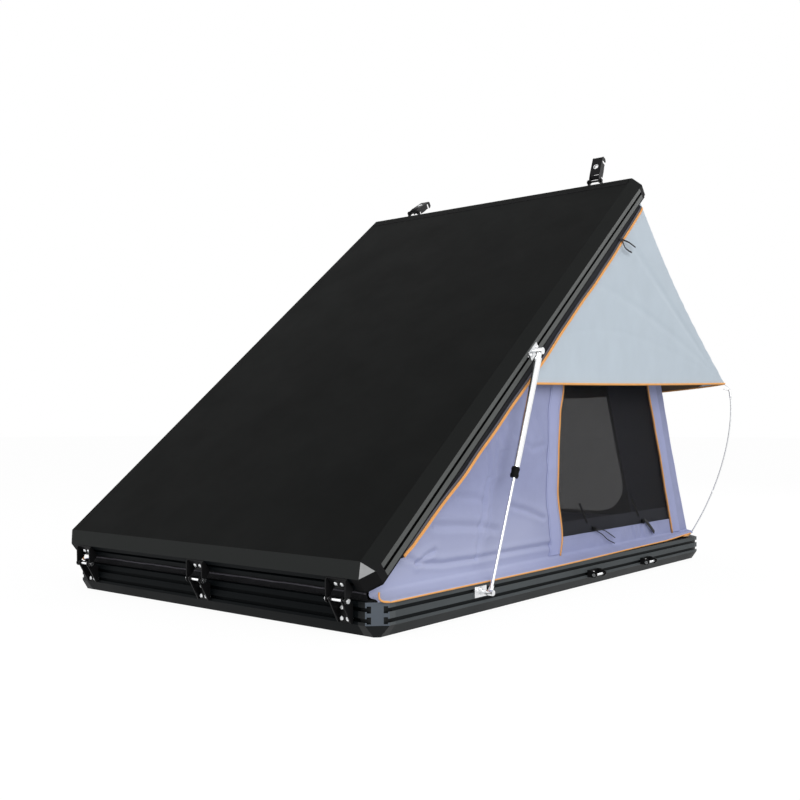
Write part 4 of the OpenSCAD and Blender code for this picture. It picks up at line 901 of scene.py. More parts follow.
def paths_carrier(paths):
    vertices, edges = [], []
    for path in paths:
        first = len(vertices)
        vertices.extend(path)
        edges.extend((k, k + 1) for k in range(first, len(vertices) - 1))
    return carrier_of(vertices, edges)


def lathe_item(name, rings, sides, material):
    """Item turned about Z from (radius, z) pairs; a third value of 1 gives a hexagonal ring."""
    vertices = []
    for radius, z, *hexagonal in rings:
        for k in range(sides):
            a = 2 * math.pi * k / sides
            r = radius
            if hexagonal:
                r *= math.cos(math.pi / 6) / math.cos((a + math.pi / 6) % (math.pi / 3) - math.pi / 6)
            vertices.append((r * math.cos(a), r * math.sin(a), z))
    return new_piece(name, vertices, tube_faces(len(rings), sides), material, smooth=False)


# Canvas surfaces

def crease_depth(y, z):
    """Inward depth of the creases at places on a side wall."""
    total = np.zeros_like(y)
    for depth, width, line in CREASES:
        nearest = np.full_like(y, 1e9)
        above = np.zeros_like(y)
        for (y0, z0), (y1, z1) in zip(line, line[1:]):
            dy, dz = y1 - y0, z1 - z0
            t = np.clip(((y - y0) * dy + (z - z0) * dz) / (dy * dy + dz * dz), 0, 1)
            off_y, off_z = y - y0 - t * dy, z - z0 - t * dz
            distance = np.hypot(off_y, off_z)
            closer = distance < nearest
            nearest = np.where(closer, distance, nearest)
            above = np.where(closer, np.sign(off_z * abs(dy) - off_y * dz * np.sign(dy)), above)
        total += depth * bell(nearest - 0.25 * width * above, width)
        total -= 0.5 * depth * bell(nearest - width * (1.6 + 0.5 * above), 1.2 * width)
    return total


def wall_height(y0):
    """Top of a side wall's column, and its height over the base."""
    top = opened(places(CANVAS_TOP_X, np.interp(y0, FOOT_YS, TOP_YS), CANVAS_TOP_Z))
    return top, top[..., 2] - BASE_H


def side_wall_point(y0, rise):
    """Outer face of the right wall above foot place y0, at a share of the way from the base to the lid."""
    crease = bpy.context.scene.tent_sizes.crease
    top, height = wall_height(y0)
    front_share = share_of(y0, FRONT_FOOT_Y, WINDOW_Y)
    rear_share = share_of(y0, WINDOW_REAR_Y, FOOT_YS[3])
    window_share = share_of(y0, WINDOW_Y, WINDOW_REAR_Y)
    y = mix(y0, top[..., 1], rise) - CANVAS_SLACK * rear_share * arch(rise)
    z = BASE_H + height * rise
    hung = share_of(1 - rise, 0, 0.15)
    y = y + hung * eased(z, FRONT_SWAY) * bell(y0 - WINDOW_Y, SWAY_REACH)
    y = y + hung * eased(z, REAR_SWAY) * bell(y0 - WINDOW_REAR_Y, SWAY_REACH) * (1 - rear_share)
    # Broad waves of the slack front stretch, then its creases
    fade = arch(front_share) * np.minimum(1, height / 0.4)
    yd, zd = np.radians(y / MM), np.radians(z / MM)
    waves = np.sin(zd * 1.1 + yd * 0.25) + 0.6 * np.sin(yd * 0.62 - zd * 0.3)
    relief = 7 * MM * fade * arch(rise) * waves
    relief -= crease * crease_depth(y, z) * np.minimum(1, height / 0.12)
    relief += crease * 1.6 * MM * soft_noise(y, z, 11.0, 3.0) * np.minimum(1, height / 0.3)
    # Fold of the rear strip, and gathers under the window
    relief += 5 * MM * np.maximum(0, 1 - np.abs(rear_share - 0.5) / 0.35) * (rear_share > 0)
    low = share_of(z - BASE_H, SKIRT_UP, SILL_UP) * (window_share > 0) * (window_share < 1)
    gather = np.sin(window_share * 62 + 1.5 * np.sin(window_share * 17)) * arch(window_share) ** 0.5
    gather += 1.4 * np.sin(window_share * 150) * bell(window_share - 0.7, 0.14)
    relief += crease * 2.0 * MM * gather * arch(low) * (z < BASE_H + SILL_UP)
    return places(mix(WALL_X, CANVAS_TOP_X, rise) + relief, y, z)


def rise_at(y0, up, share):
    """Share of the height that a fixed level takes, capped where the wall is low."""
    height = wall_height(y0)[1]
    return np.minimum(up, share * height) / height


def skirt_rise(y0):
    return rise_at(y0, SKIRT_UP, 0.35)


def sill_rise(y0):
    return rise_at(y0, SILL_UP, 0.55)


def window_top_rise(y0):
    return mix(sill_rise(y0), 1.0, WINDOW_TOP_SHARE)


def lid_line(y0):
    return np.ones_like(y0)


def side_patch(y_from, y_to, low, high, columns, rows):
    """Grid of the right wall between two foot places and two rises, with UVs in metres."""
    y0 = np.linspace(y_from, y_to, columns)[:, None] + np.zeros((1, rows))
    points = side_wall_point(y0, mix(low(y0), high(y0), np.linspace(0, 1, rows)))
    return points, points[..., 1:3].copy()


def side_hem(y0):
    """Hem of the right skirt, which lies on the rail's edge and lifts towards the rear corner."""
    outline = HALF_W - np.maximum(0, np.abs(y0) - (HALF_L - CORNER_CUT))
    return places(outline + 2 * MM - eased(y0, HEM_IN), y0, BASE_H + eased(y0, HEM_UP))


def side_skirt_point(y0, k):
    """Outer face of the right skirt, from its hem on the rail (k = 0) to the wall's foot (k = 1)."""
    height = wall_height(y0)[1]
    rise = skirt_rise(y0)
    hem = side_hem(y0)
    foot = side_wall_point(y0, rise)
    along_wall = side_wall_point(y0, rise + 0.01) - foot
    roll = hem + np.array([-0.5, 0, 4]) * MM
    swell = places(np.minimum(hem[..., 0] - 6 * MM, WALL_X + 24 * MM), y0,
                   hem[..., 2] + 5 * MM + np.minimum(4 * MM, 0.06 * height))
    return spline_through([hem, roll, swell, foot], k, along_wall)


def rear_rise(z):
    return (z - BASE_H) / (REAR_TOP_Z - BASE_H)


def rear_wall_point(x, rise):
    """Outer face of the rear wall."""
    top = opened(places(x, REAR_TOP_Y, CANVAS_TOP_Z))
    z = BASE_H + (top[..., 2] - BASE_H) * rise
    sag = CANVAS_SLACK * arch(rise) * (0.6 + 0.4 * np.abs(x / REAR_HALF))
    broad = 2.4 * soft_noise(x, z, 8.0, 7.0) + 1.6 * soft_noise(x, 0.6 * z, 17.0, 5.0)
    gathers = 1.5 * np.sin(64 * x + 2.5 * np.sin(9 * x)) * bell(z - BASE_H - SKIRT_UP, 0.07)
    relief = (broad + gathers) * MM * np.minimum(1, rise / 0.05)
    return places(x, mix(REAR_FOOT_Y, top[..., 1], rise) - sag + relief, z)


def gore_edge(t):
    """Edge between a side piece and the rear piece, where the rear cloth starts to reach past the lid."""
    return mix(GORE_START, GORE_SHARE, t)


def awning_patch(part, count, rows):
    """Grid places (s, t) of the right side piece or of the rear piece of the awning."""
    t = np.linspace(0, 1, rows)[None, :]
    share = np.linspace(0, 1, count)[:, None]
    if part == "side":
        s = mix(0.0, 1 + gore_edge(t), 1 - (1 - share) ** 1.8)
    else:
        s = mix(1 + gore_edge(t), 2 - gore_edge(t), share)
    return np.broadcast_arrays(s, t)


def awning_point(s, t):
    """Awning cloth: s runs round the lid's edge from the right start (0) over the right corner (1) to the
    left corner (2), t from the lid's rail (0) to the hem (1)."""
    s, t = np.broadcast_arrays(np.asarray(s, float), np.asarray(t, float))
    side = np.clip(s, 0, 1)
    back = np.clip(s - 1, 0, 1)
    on_side = s < 1
    from_corner = np.minimum(np.abs(s - 1), np.abs(s - 2))
    top_x = np.where(on_side, AWNING_TOP_X, mix(AWNING_TOP_X, -AWNING_TOP_X, back))
    top_y = np.where(on_side, mix(*AWNING_TOP_YS, side), AWNING_TOP_YS[1])
    top_y = top_y - AWNING_INSET * bell(from_corner, np.where(on_side, 0.05, 0.012))
    top = opened(places(top_x, top_y, AWNING_TOP_Z))
    start = opened((AWNING_TOP_X, AWNING_TOP_YS[0], AWNING_TOP_Z)) + np.array([2, 10, -80]) * MM
    bow = arch(side)[..., None] * np.array([-6, 0, -3]) * MM
    side_edge = start + (AWNING_CORNER - start) * side[..., None] + bow
    dip = arch(back)
    back_edge = places(mix(AWNING_CORNER[0], -AWNING_CORNER[0], back), AWNING_CORNER[1] - 10 * MM * dip,
                       AWNING_CORNER[2] - AWNING_SAG * np.abs(dip) ** 0.8)
    hem = np.where(on_side[..., None], side_edge, back_edge)
    drop = np.linalg.norm(hem - top, axis=-1)
    # The cloth hangs a little hollow; the direction turns smoothly round each corner
    corner = smooth_step(share_of(from_corner, 0, 0.12))
    hollow = np.where(on_side[..., None], (-1.0, 0.35, 0.0), (0.0, -1.0, 0.0))
    hollow = mix(places(np.where(s < 1.5, -1.0, 1.0), -0.6, 0.0), hollow, corner[..., None])
    depth = 14 * MM * arch(t) * np.minimum(1, drop / 0.6)
    # Tension folds that run up from the rod's corner, ripples, and the drape of the rear
    fan = np.zeros_like(s)
    for slope, fold_depth in AWNING_FANS:
        fan += fold_depth * MM * bell(from_corner - slope * (1 - t) * 2.2, 0.018) * np.abs(arch(t)) ** 0.7
    fan = fan * share_of(from_corner, 0, 0.05) ** 2
    ripple = 1.2 * MM * np.sin(s * 26 + 2.0 * t) * arch(t)
    folds = 5.5 * np.sin(24 * back + 0.9 * t) + 3 * np.sin(41 * back - 1.4 * t + 1.0)
    drape = folds * MM * dip * np.abs(arch(t)) ** 0.8
    return mix(top, hem, t[..., None]) + hollow * (depth + fan + ripple + drape)[..., None]


def rod_route(count=60):
    """Route of the right spring rod from its socket to the awning's corner."""
    plan = ROD_TIP[:2] - ROD_FOOT[:2]
    reach = np.linalg.norm(plan)
    rise = ROD_TIP[2] - ROD_FOOT[2]
    t = np.linspace(0, 1, count)[:, None]
    weights = np.hstack([(1 - t) ** 3, 3 * t * (1 - t) ** 2, 3 * t * t * (1 - t), t ** 3])
    out = weights @ np.array([0, reach * 0.82, reach + ROD_BOW, reach + ROD_END])
    up = weights @ (ROD_FOOT[2] + rise * np.array([0, 0.30, 0.70, 0.975]))
    curve = places(ROD_FOOT[0] + plan[0] / reach * out, ROD_FOOT[1] + plan[1] / reach * out, up)
    return np.vstack([ROD_FOOT - np.array([0, 0, ROD_STAND]), curve])


# How cloth rides on the base and the lid

def fold(piece, body, axis, anchor, keep):
    """Rides a soft piece on a body, with a mesh of its own."""
    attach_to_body(piece, body)
    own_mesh(piece)


def fold_down(piece):
    """Wall cloth rides on the base."""
    fold(piece, "base", (0, 0, 1), (0, 0, BASE_H + 5 * MM), 0.03)


def fold_back(piece):
    """Front strip rides on the base."""
    fold(piece, "base", (0, 1, 0), (0, -HALF_L + 46 * MM, 0), 0.1)


def fold_forward(piece):
    """Rear skirt rides on the base."""
    fold(piece, "base", (0, 1, 0), (0, HALF_L - 54 * MM, 0), 0.15)


def fold_skirt(piece, side, end):
    """A skirt's length and its ends ride on the base."""
    if end == 0:
        fold(piece, "base", (1, 0, 0), (side * (WALL_X - 14 * MM), 0, 0), 0.2)
    else:
        corner = (side * (HALF_W - 70 * MM), end * (HALF_L - 70 * MM), 0)
        fold(piece, "base", (side, end, 0), corner, 0.1)


def fold_into_lid(piece, lean):
    """Awning cloth rides on the lid."""
    anchor = opened((0.64 * lean, 1.0, LID_FOLD_Z))
    fold(piece, "lid", opened_direction((0.108 * lean, 0, -0.9)), anchor, 0.006)


def fold_under_lid(piece):
    """The lid's own skirt rides on the lid."""
    fold(piece, "lid", opened_direction((0, 0, 1)), opened((0, 0, BASE_H + 6.5 * MM)), 0.04)


def attach(piece, slot, carry, *where, node=None):
    """Gives a piece its ride, and hides the node that it stands for. The slot is not used."""
    carry(piece, *where)
    if node:
        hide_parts(node)


# Operators

class TENT_OT_stage(bpy.types.Operator):
    """Sets the camera, the floor, the lights and the view transform"""

    bl_idname = "tent.stage"
    bl_label = "Stage"

    def execute(self, context):
        scene = context.scene
        scene.view_settings.view_transform = "Standard"
        lens = bpy.data.cameras.new("photo_camera")
        lens.sensor_width = SENSOR
        lens.lens = LENS
        lens.clip_end = 200.0
        camera = placed("photo_camera", lens)
        camera.location = CAMERA_PLACE
        camera.rotation_euler = CAMERA_TURN
        scene.camera = camera
        self.world(scene)
        self.floor()
        for name, place, size, power in LAMPS:
            light = bpy.data.lights.new(name, "AREA")
            light.size = size
            light.energy = power
            lamp = placed(name, light)
            lamp.location = place
            lamp.rotation_euler = (LAMP_AIM - Vector(place)).to_track_quat("-Z", "Y").to_euler()
        return {"FINISHED"}

    def world(self, scene):
        """White to the camera and in reflections, plain ambient light elsewhere."""
        world = bpy.data.worlds.new("studio")
        world.use_nodes = True
        tree = world.node_tree
        background = tree.nodes["Background"]
        background.inputs["Color"].default_value = (1, 1, 1, 1)
        tree.links.new(self.seen_strength(tree, 0.62, 1.0), background.inputs["Strength"])
        scene.world = world

    def seen_strength(self, tree, ambient, seen):
        """Strength that is one value for camera, glossy and transmission rays and another for the light."""
        rays = add_node(tree, "ShaderNodeLightPath").outputs
        through = calculated(tree, "MAXIMUM", rays["Is Camera Ray"], rays["Is Transmission Ray"])
        either = calculated(tree, "MAXIMUM", through, rays["Is Glossy Ray"])
        strength = add_node(tree, "ShaderNodeMapRange", value=either, to_min=ambient, to_max=seen)
        return strength.outputs["Result"]

    def floor(self):
        """Pale floor that looks white but keeps a faint shadow."""
        tree, shader = start_material("pale_floor", (0.6, 0.6, 0.6), 0.9, specular=0.0)
        glow = add_node(tree, "ShaderNodeEmission", strength=1.07)
        blend = add_node(tree, "ShaderNodeMixShader")
        feed(tree, blend.inputs,
             (self.seen_strength(tree, 0.0, 0.88), shader.outputs["BSDF"], glow.outputs["Emission"]))
        tree.links.new(blend.outputs["Shader"], tree.nodes["Material Output"].inputs["Surface"])
        corners = [(x * FLOOR_HALF, y * FLOOR_HALF, 0) for x, y in ((-1, -1), (1, -1), (1, 1), (-1, 1))]
        floor = new_piece("floor", corners, [(0, 1, 2, 3)], "pale_floor", smooth=False)
        floor.location.z = -0.5 * MM


NODE_FINISHES = {
    "plank": ("base_floor_panel", "mounting_channel_left", "mounting_channel_right"),
    "dark_coat": ("base_rail_front", "base_rail_rear", "lid_rail_front", "lid_rail_rear"),
    "grey_coat": ("base_rail_left", "base_rail_right"),
    "lid_rail_coat": ("lid_rail_left", "lid_rail_right"),
    "cast_grey": ("base_corner_castings",),
    "black_coat": ("hinge_base_brackets", "hinge_lid_brackets", "latch_brackets", "latch_lever_left",
                   "latch_lever_right", "latch_keepers", "ladder_brackets", "latch_pins"),
    "moulded_black": ("lid_corner_caps", "strut_collar_left", "strut_collar_right", "rod_sockets"),
    "soft_rubber": ("lid_seal",),
    "lid_sheet": ("lid_skin",),
    "corner_metal": ("lid_corner_plates",),
    "bright_plate": ("strut_base_bracket_left", "strut_base_bracket_right", "strut_lid_bracket_left",
                     "strut_lid_bracket_right", "hinge_pins", "keeper_pins", "ladder_pins"),
    "polished_tube": ("strut_tube_left", "strut_tube_right", "strut_rod_left", "strut_rod_right"),
}


class TENT_OT_finishes(bpy.types.Operator):
    """Makes the materials and gives the CAD pieces their finish"""

    bl_idname = "tent.finishes"
    bl_label = "Finishes"

    def execute(self, context):
        make_finishes(context.scene.tent_colours)
        for finish, nodes in NODE_FINISHES.items():
            for node in nodes:
                slots = frame["nodes"][node].data.materials
                slots.clear()
                slots.append(finish_of(finish))
        return {"FINISHED"}


class TENT_OT_walls(bpy.types.Operator):
    """Hangs the side, rear and front walls between the base and the lid"""

    bl_idname = "tent.walls"
    bl_label = "Walls"

    def execute(self, context):
        thickness = context.scene.tent_sizes.canvas_thickness
        patches = (
            ("front", *FOOT_YS[0:2], skirt_rise, lid_line, 200, 180),
            ("sill", *FOOT_YS[1:3], skirt_rise, sill_rise, 240, 18),
            ("head", *FOOT_YS[1:3], window_top_rise, lid_line, 60, 16),
            ("strip", *FOOT_YS[2:4], skirt_rise, lid_line, 32, 120),
        )
        for side_name, side in SIDES:
            for patch, *limits in patches:
                points, uv = side_patch(*limits)
                piece = cloth(f"wall_{side_name}_{patch}", sided(points, side), uv, thickness, "wall_canvas",
                              flip=side < 0)
                attach(piece, "canvas", fold_down, node=f"wall_{side_name}" if patch == "front" else None)
            self.skirt(side_name, side, thickness)
            self.zip_flaps(side_name, side, thickness)
        self.rear(thickness)
        self.front(thickness)
        return {"FINISHED"}

    def skirt(self, side_name, side, thickness):
        """Foot of a side wall, which laps over the rail."""
        stretches = (
            (-1, "front", FOOT_YS[0], -CORNER_REACH, 14),
            (0, "length", -CORNER_REACH, CORNER_REACH, 180),
            (1, "rear", CORNER_REACH, FOOT_YS[3], 14),
        )
        for end, place, y_from, y_to, columns in stretches:
            y0 = np.linspace(y_from, y_to, columns)
            points = np.stack([side_skirt_point(y0, k) for k in np.linspace(0, 1, 16)], 1)
            uv = np.stack(np.broadcast_arrays(y0[:, None], run_along(points, 1)), -1)
            piece = cloth(f"skirt_{side_name}_{place}", sided(points, side), uv, thickness, "wall_canvas",
                          flip=side < 0)
            attach(piece, "canvas", fold_skirt, side, end)

    def zip_flaps(self, side_name, side, thickness):
        """Loose bands of cloth that lie beside the two zips, coloured paler than the wall as painted light on
        their raised faces.
        """
        free_edge = np.linspace(0, 1, 16)
        bands = (
            ("front", FOOT_YS[1] - ZIP_FLAP, FOOT_YS[1] - 2 * MM),
            ("rear", FOOT_YS[2] + 2 * MM, FOOT_YS[2] + ZIP_FLAP),
        )
        for place, y_from, y_to in bands:
            points, uv = side_patch(y_from, y_to, skirt_rise, lambda y0: np.full_like(y0, 0.98), 16, 150)
            points[..., 0] += (FLAP_LIFT + FLAP_PUFF * arch(free_edge) ** 2)[:, None]
            piece = cloth(f"zip_flap_{side_name}_{place}", sided(points, side), uv, thickness, "canvas_flap",
                          flip=side < 0)
            attach(piece, "canvas", fold_down)

    def rear(self, thickness):
        """Rear wall round its piped window, and its skirt."""
        count, rows = 220, 22
        low = BASE_H + SKIRT_UP
        inner = self.window_outline(count)
        outer = self.box_outline(inner, REAR_HALF, low, REAR_TOP_Z)
        flat = mix(outer[:, None, :], inner[:, None, :], np.linspace(0, 1, rows)[None, :, None])
        points = rear_wall_point(flat[..., 0], rear_rise(flat[..., 1]))
        panel = cloth("wall_rear_panel", points, flat, thickness, "wall_canvas",
                      closed_ring=True)
        edge = points[:, -1][np.r_[0:count, 0:2]] + [0, 1.5 * MM, 0]
        radius = bpy.context.scene.tent_sizes.piping_radius
        piping = swept("piping_window_rear", edge, circle(radius), "piping")
        attach(panel, "canvas", fold_down, node="wall_rear")
        attach(piping, "canvas", fold_down)
        x = np.linspace(-REAR_HALF, REAR_HALF, 120)
        rim_y = HALF_L + 2 * MM
        knots = [
            places(x, rim_y, BASE_H - HEM_DROP),
            places(x, rim_y, BASE_H + 1.6 * MM),
            places(x, REAR_FOOT_Y + 4 * MM, BASE_H + 9 * MM),
            rear_wall_point(x, np.full_like(x, rear_rise(low))),
        ]
        ks = np.linspace(0, 1, 14)
        points = np.stack([spline_through(knots, k) for k in ks], 1)
        uv = np.stack(np.broadcast_arrays(x[:, None], ks * 0.06), -1)
        skirt = cloth("skirt_rear", points, uv, thickness, "wall_canvas", flip=True)
        attach(skirt, "canvas", fold_forward)

    def window_outline(self, count):
        """Rear window with wide rounded lower corners, anticlockwise from the rear, as (x, z)."""
        low, (upper_r, lower_r) = BASE_H + SILL_UP, WINDOW_RADII
        corners = ((1, WINDOW_HIGH - upper_r, upper_r, 0), (-1, WINDOW_HIGH - upper_r, upper_r, 90),
                   (-1, low + lower_r, lower_r, 180), (1, low + lower_r, lower_r, 270))
        points = []
        for side, z, r, angle in corners:
            x = side * (WINDOW_HALF - r)
            for a in np.radians(np.linspace(angle, angle + 90, 14)):
                points.append((x + r * math.cos(a), z + r * math.sin(a), 0.0))
        points.append(points[0])
        return evenly(points, count + 1)[:-1, :2]

    def box_outline(self, inner, half, low, high):
        """Points of a box's edge that face the points of the window's outline."""
        centre = np.array([0.0, (inner[:, 1].min() + inner[:, 1].max()) / 2])
        out = []
        for d in inner - centre:
            reach = []
            if abs(d[0]) > 1e-9:
                reach.append(half / abs(d[0]))
            if abs(d[1]) > 1e-9:
                reach.append(((high - centre[1]) if d[1] > 0 else (centre[1] - low)) / abs(d[1]))
            out.append(centre + d * min(reach))
        out = np.array(out)
        for x in (-half, half):
            for z in (low, high):
                out[np.argmin(np.hypot(out[:, 0] - x, out[:, 1] - z))] = (x, z)
        return out

    def front(self, thickness):
        """Low front strip with a shallow bulge and soft gathers, and the rib along it; the strip's near-black
        cloth is painted shade.
        """
        rows = 12
        x = np.linspace(-REAR_HALF, REAR_HALF, 150)[:, None] + np.zeros((1, rows))
        t = np.linspace(0, 1, rows)[None, :] + np.zeros_like(x)
        top = opened(places(x, TOP_YS[0], CANVAS_TOP_Z))
        bulge = FRONT_BULGE * arch(t) * (1 + 0.5 * np.sin(x * 31) + 0.3 * np.sin(x * 73))
        points = places(x, mix(FRONT_FOOT_Y, top[..., 1], t) - bulge, mix(BASE_H + 0.5 * MM, top[..., 2], t))
        strip = cloth("wall_front_strip", points, np.stack([x, t * 0.045], -1), thickness, "front_cloth")
        attach(strip, "canvas", fold_back, node="wall_front")
        path = points[:, 5] - [0, RIB_THICKNESS / 2, 0]
        rib = swept("front_rib", path, flat_band(RIB_WIDTH, RIB_THICKNESS), "flap_tape", up=(0, -1, 0.2))
        attach(rib, "canvas", fold_back)


class TENT_OT_nets(bpy.types.Operator):
    """Sets the insect nets behind the windows, and the panel at the foot of the side nets"""

    bl_idname = "tent.nets"
    bl_label = "Nets"

    def execute(self, context):
        thickness = context.scene.tent_sizes.net_thickness
        y_from, y_to = FOOT_YS[1] - NET_LAP, FOOT_YS[2] + NET_LAP
        for side_name, side in SIDES:
            points, uv = side_patch(y_from, y_to, lambda y: sill_rise(y) - 0.01,
                                    lambda y: window_top_rise(y) + 0.01, 60, 50)
            net = cloth(f"net_{side_name}", sided(self.calm(points, NET_BEHIND), side), uv, thickness, "net",
                        flip=side < 0)
            attach(net, "mesh", fold_down, node=f"mesh_{side_name}")
            points, uv = side_patch(y_from, y_to, lambda y: sill_rise(y) - 0.008,
                                    lambda y: sill_rise(y) + PANEL_UP / wall_height(y)[1], 60, 10)
            points = sided(self.calm(points, PANEL_BEHIND), side)
            panel = cloth(f"window_panel_{side_name}", points, uv, thickness, "inner_panel",
                          flip=side < 0)
            attach(panel, "mesh", fold_down)
        half = WINDOW_HALF + NET_LAP
        x = np.linspace(half, -half, 50)[:, None] + np.zeros((1, 50))
        z = np.linspace(BASE_H + SILL_UP - NET_LAP, WINDOW_HIGH + NET_LAP, 50)[None, :] + np.zeros_like(x)
        points = rear_wall_point(x, rear_rise(z)) - [0, REAR_NET_BEHIND, 0]
        net = cloth("net_rear", points, np.stack([x, z], -1), thickness, "net")
        attach(net, "mesh", fold_down, node="mesh_rear")
        return {"FINISHED"}

    def calm(self, points, behind):
        """Net surface without the canvas's relief, a little behind it."""
        rise = (points[..., 2] - BASE_H) / np.maximum(1e-6, points[..., 2].max() - BASE_H)
        return places(WALL_X + 1 * MM * rise - behind, points[..., 1], points[..., 2])


class TENT_OT_trims(bpy.types.Operator):
    """Sews the orange piping, the zips, the lid's side skirts and the stitch lines"""

    bl_idname = "tent.trims"
    bl_label = "Trims"

    def execute(self, context):
        sizes = context.scene.tent_sizes
        radius = sizes.piping_radius
        half, high, reach = 0.4 * MM, 0.5 * MM, 2 * MM
        prism = [(x, y, z) for z in (-reach, reach) for x, y in ((-half, 0), (half, 0), (0, high))]
        faces = [(0, 2, 1), (3, 4, 5), (0, 1, 4, 3), (1, 2, 5, 4), (2, 0, 3, 5)]
        stitch = new_piece("stitch_item", prism, faces, "thread", smooth=False)
        tooth = rounded_block("tooth_item", TOOTH_SIZE, 0.4 * MM, "zip_teeth", segments=1)
        for side_name, side in SIDES:
            self.hem(side_name, side, radius)
            self.zips(side_name, side, radius, sizes.tooth_pitch, tooth)
            self.lid_skirt(side_name, side, radius, sizes.canvas_thickness)
            self.stitches(side_name, side, sizes.stitch_pitch, stitch)
        x = np.linspace(-REAR_HALF, REAR_HALF, 80)
        path = places(x, HALF_L + 2.5 * MM, BASE_H - HEM_DROP)
        piping = swept("piping_hem_rear", path, circle(radius), "piping")
        attach(piping, "canvas", fold_forward)
        for item in (stitch, tooth):
            bpy.data.objects.remove(item)
        return {"FINISHED"}

    def hem(self, side_name, side, radius):
        """Piping on the skirt's hem, which curls up at its front end and ends in a folded tab at the rear."""
        y0 = np.linspace(FRONT_FOOT_Y + 23 * MM, FOOT_YS[3], 150)
        path = side_hem(y0) + [0.5 * MM, 0, 0]
        path = smooth_path(np.vstack([HEM_CURL, path[1::6]]), 260)
        turn = int(np.argmax(path[:, 1] > -CORNER_REACH))
        front = swept(f"piping_hem_{side_name}_front", sided(path[:turn + 1], side), circle(radius), "piping")
        length = swept("piping", sided(path[turn:], side), circle(radius), "piping")
        length = joined(f"piping_hem_{side_name}_length", [length, self.tab(path[-1], side)])
        for piece, end in ((front, -1), (length, 0)):
            attach(piece, "canvas", fold_skirt, side, end)

    def tab(self, corner, side):
        """Wedge of hem tape that widens towards the rear corner and turns up there."""
        count = 16
        t = np.linspace(0, 1, count)
        upper = corner + places(mix(8, -4, t), mix(-90, 14, t), mix(-5, 3, t) + 3 * t ** 4) * MM
        lower = upper + places(mix(0, 1.5, t), 0, -1 - 13 * t * (1 - t ** 6)) * MM
        points = sided(np.stack([lower, upper], 1), side)
        uv = np.stack(np.broadcast_arrays(t[:, None], (0.0, 0.014)), -1)
        faces = grid_faces(count, 2, side < 0)
        return thicken(new_piece("tab", points.reshape(-1, 3), faces, "piping", uv.reshape(-1, 2)), 2.2 * MM)

    def up_the_wall(self, y0, start, end, out, count):
        """Line up the canvas from a share of the skirt's rise to a share of the height."""
        low = float(skirt_rise(np.array([y0]))[0]) * start
        return side_wall_point(np.full(count, y0), np.linspace(low, end, count)) + [out, 0, 0]

    def zips(self, side_name, side, radius, pitch, tooth):
        """Welts beside the window, and the teeth next to them."""
        rows = []
        lines = (("front", FOOT_YS[1], 0.75, 1), ("rear", FOOT_YS[2], 0.9, -1))
        for place, y0, start, toward_window in lines:
            path = self.up_the_wall(y0, start, 0.985, WELT_OUT, 70)
            rows.append(sided(path + np.array([-1.5, 7 * toward_window, 0]) * MM, side))
            welt = swept(f"zip_welt_{side_name}_{place}", sided(path, side), circle(radius), "piping")
            attach(welt, "canvas", fold_down)
        teeth = repeated(f"zip_teeth_{side_name}", paths_carrier(rows), tooth, "zip_teeth", pitch,
                         along_path=True)
        attach(teeth, "canvas", fold_down)

    def lid_skirt(self, side_name, side, radius, thickness):
        """Flap below the lid's side rail, near black as painted shade, with a paler tape and a double line of
        piping on its edge.
        """
        y = np.linspace(LID_FLAP_EDGE[0][0] * MM, LID_FLAP_EDGE[-1][0] * MM, 260)[:, None]
        t = np.linspace(0, 1, 10)[None, :]
        x = mix(HALF_W - 24 * MM, HALF_W - 11.5 * MM, t) + 0.8 * MM * np.sin(y * 31) * t
        closed = places(x, y, mix(BASE_H + 8.2 * MM, eased(y, LID_FLAP_EDGE), t))
        edge = closed[:, -1]
        flap = cloth(f"lid_skirt_{side_name}", sided(opened(closed), side), closed[..., 1:3], thickness,
                     "lid_flap", flip=side > 0)
        tape = swept(f"lid_tape_{side_name}", sided(opened(edge + np.array([-1, 0, 11]) * MM), side),
                     flat_band(9 * MM, 1.6 * MM), "flap_tape", up=(side, 0, 0))
        pipes = []
        for up, out in ((0, 0.8), (5.2, 1.0)):
            line = opened(edge[4:] + np.array([out, 0, up]) * MM)
            pipes.append(swept("pipe", sided(line, side), circle(radius * 0.88), "piping"))
        for piece in (flap, tape, joined(f"piping_lid_{side_name}", pipes)):
            attach(piece, "canvas", fold_under_lid)

    def stitches(self, side_name, side, pitch, stitch):
        """Stitch lines beside the zips, along the flap and above the hem."""
        columns = (FOOT_YS[1] - 12 * MM, FOOT_YS[1] - ZIP_FLAP + 7 * MM, FOOT_YS[2] + 12 * MM)
        paths = [self.up_the_wall(y0, 1.1, 0.97, STITCH_OUT, 60) for y0 in columns]
        y0 = np.linspace(FOOT_YS[1] + 20 * MM, FOOT_YS[2] - 20 * MM, 120)
        paths += [side_wall_point(y0, sill_rise(y0) * up) + [SILL_STITCH_OUT, 0, 0] for up in (0.86, 0.96)]
        carrier = paths_carrier([sided(path, side) for path in paths])
        row = repeated(f"stitches_{side_name}", carrier, stitch, "thread", pitch, along_path=True)
        attach(row, "canvas", fold_down)


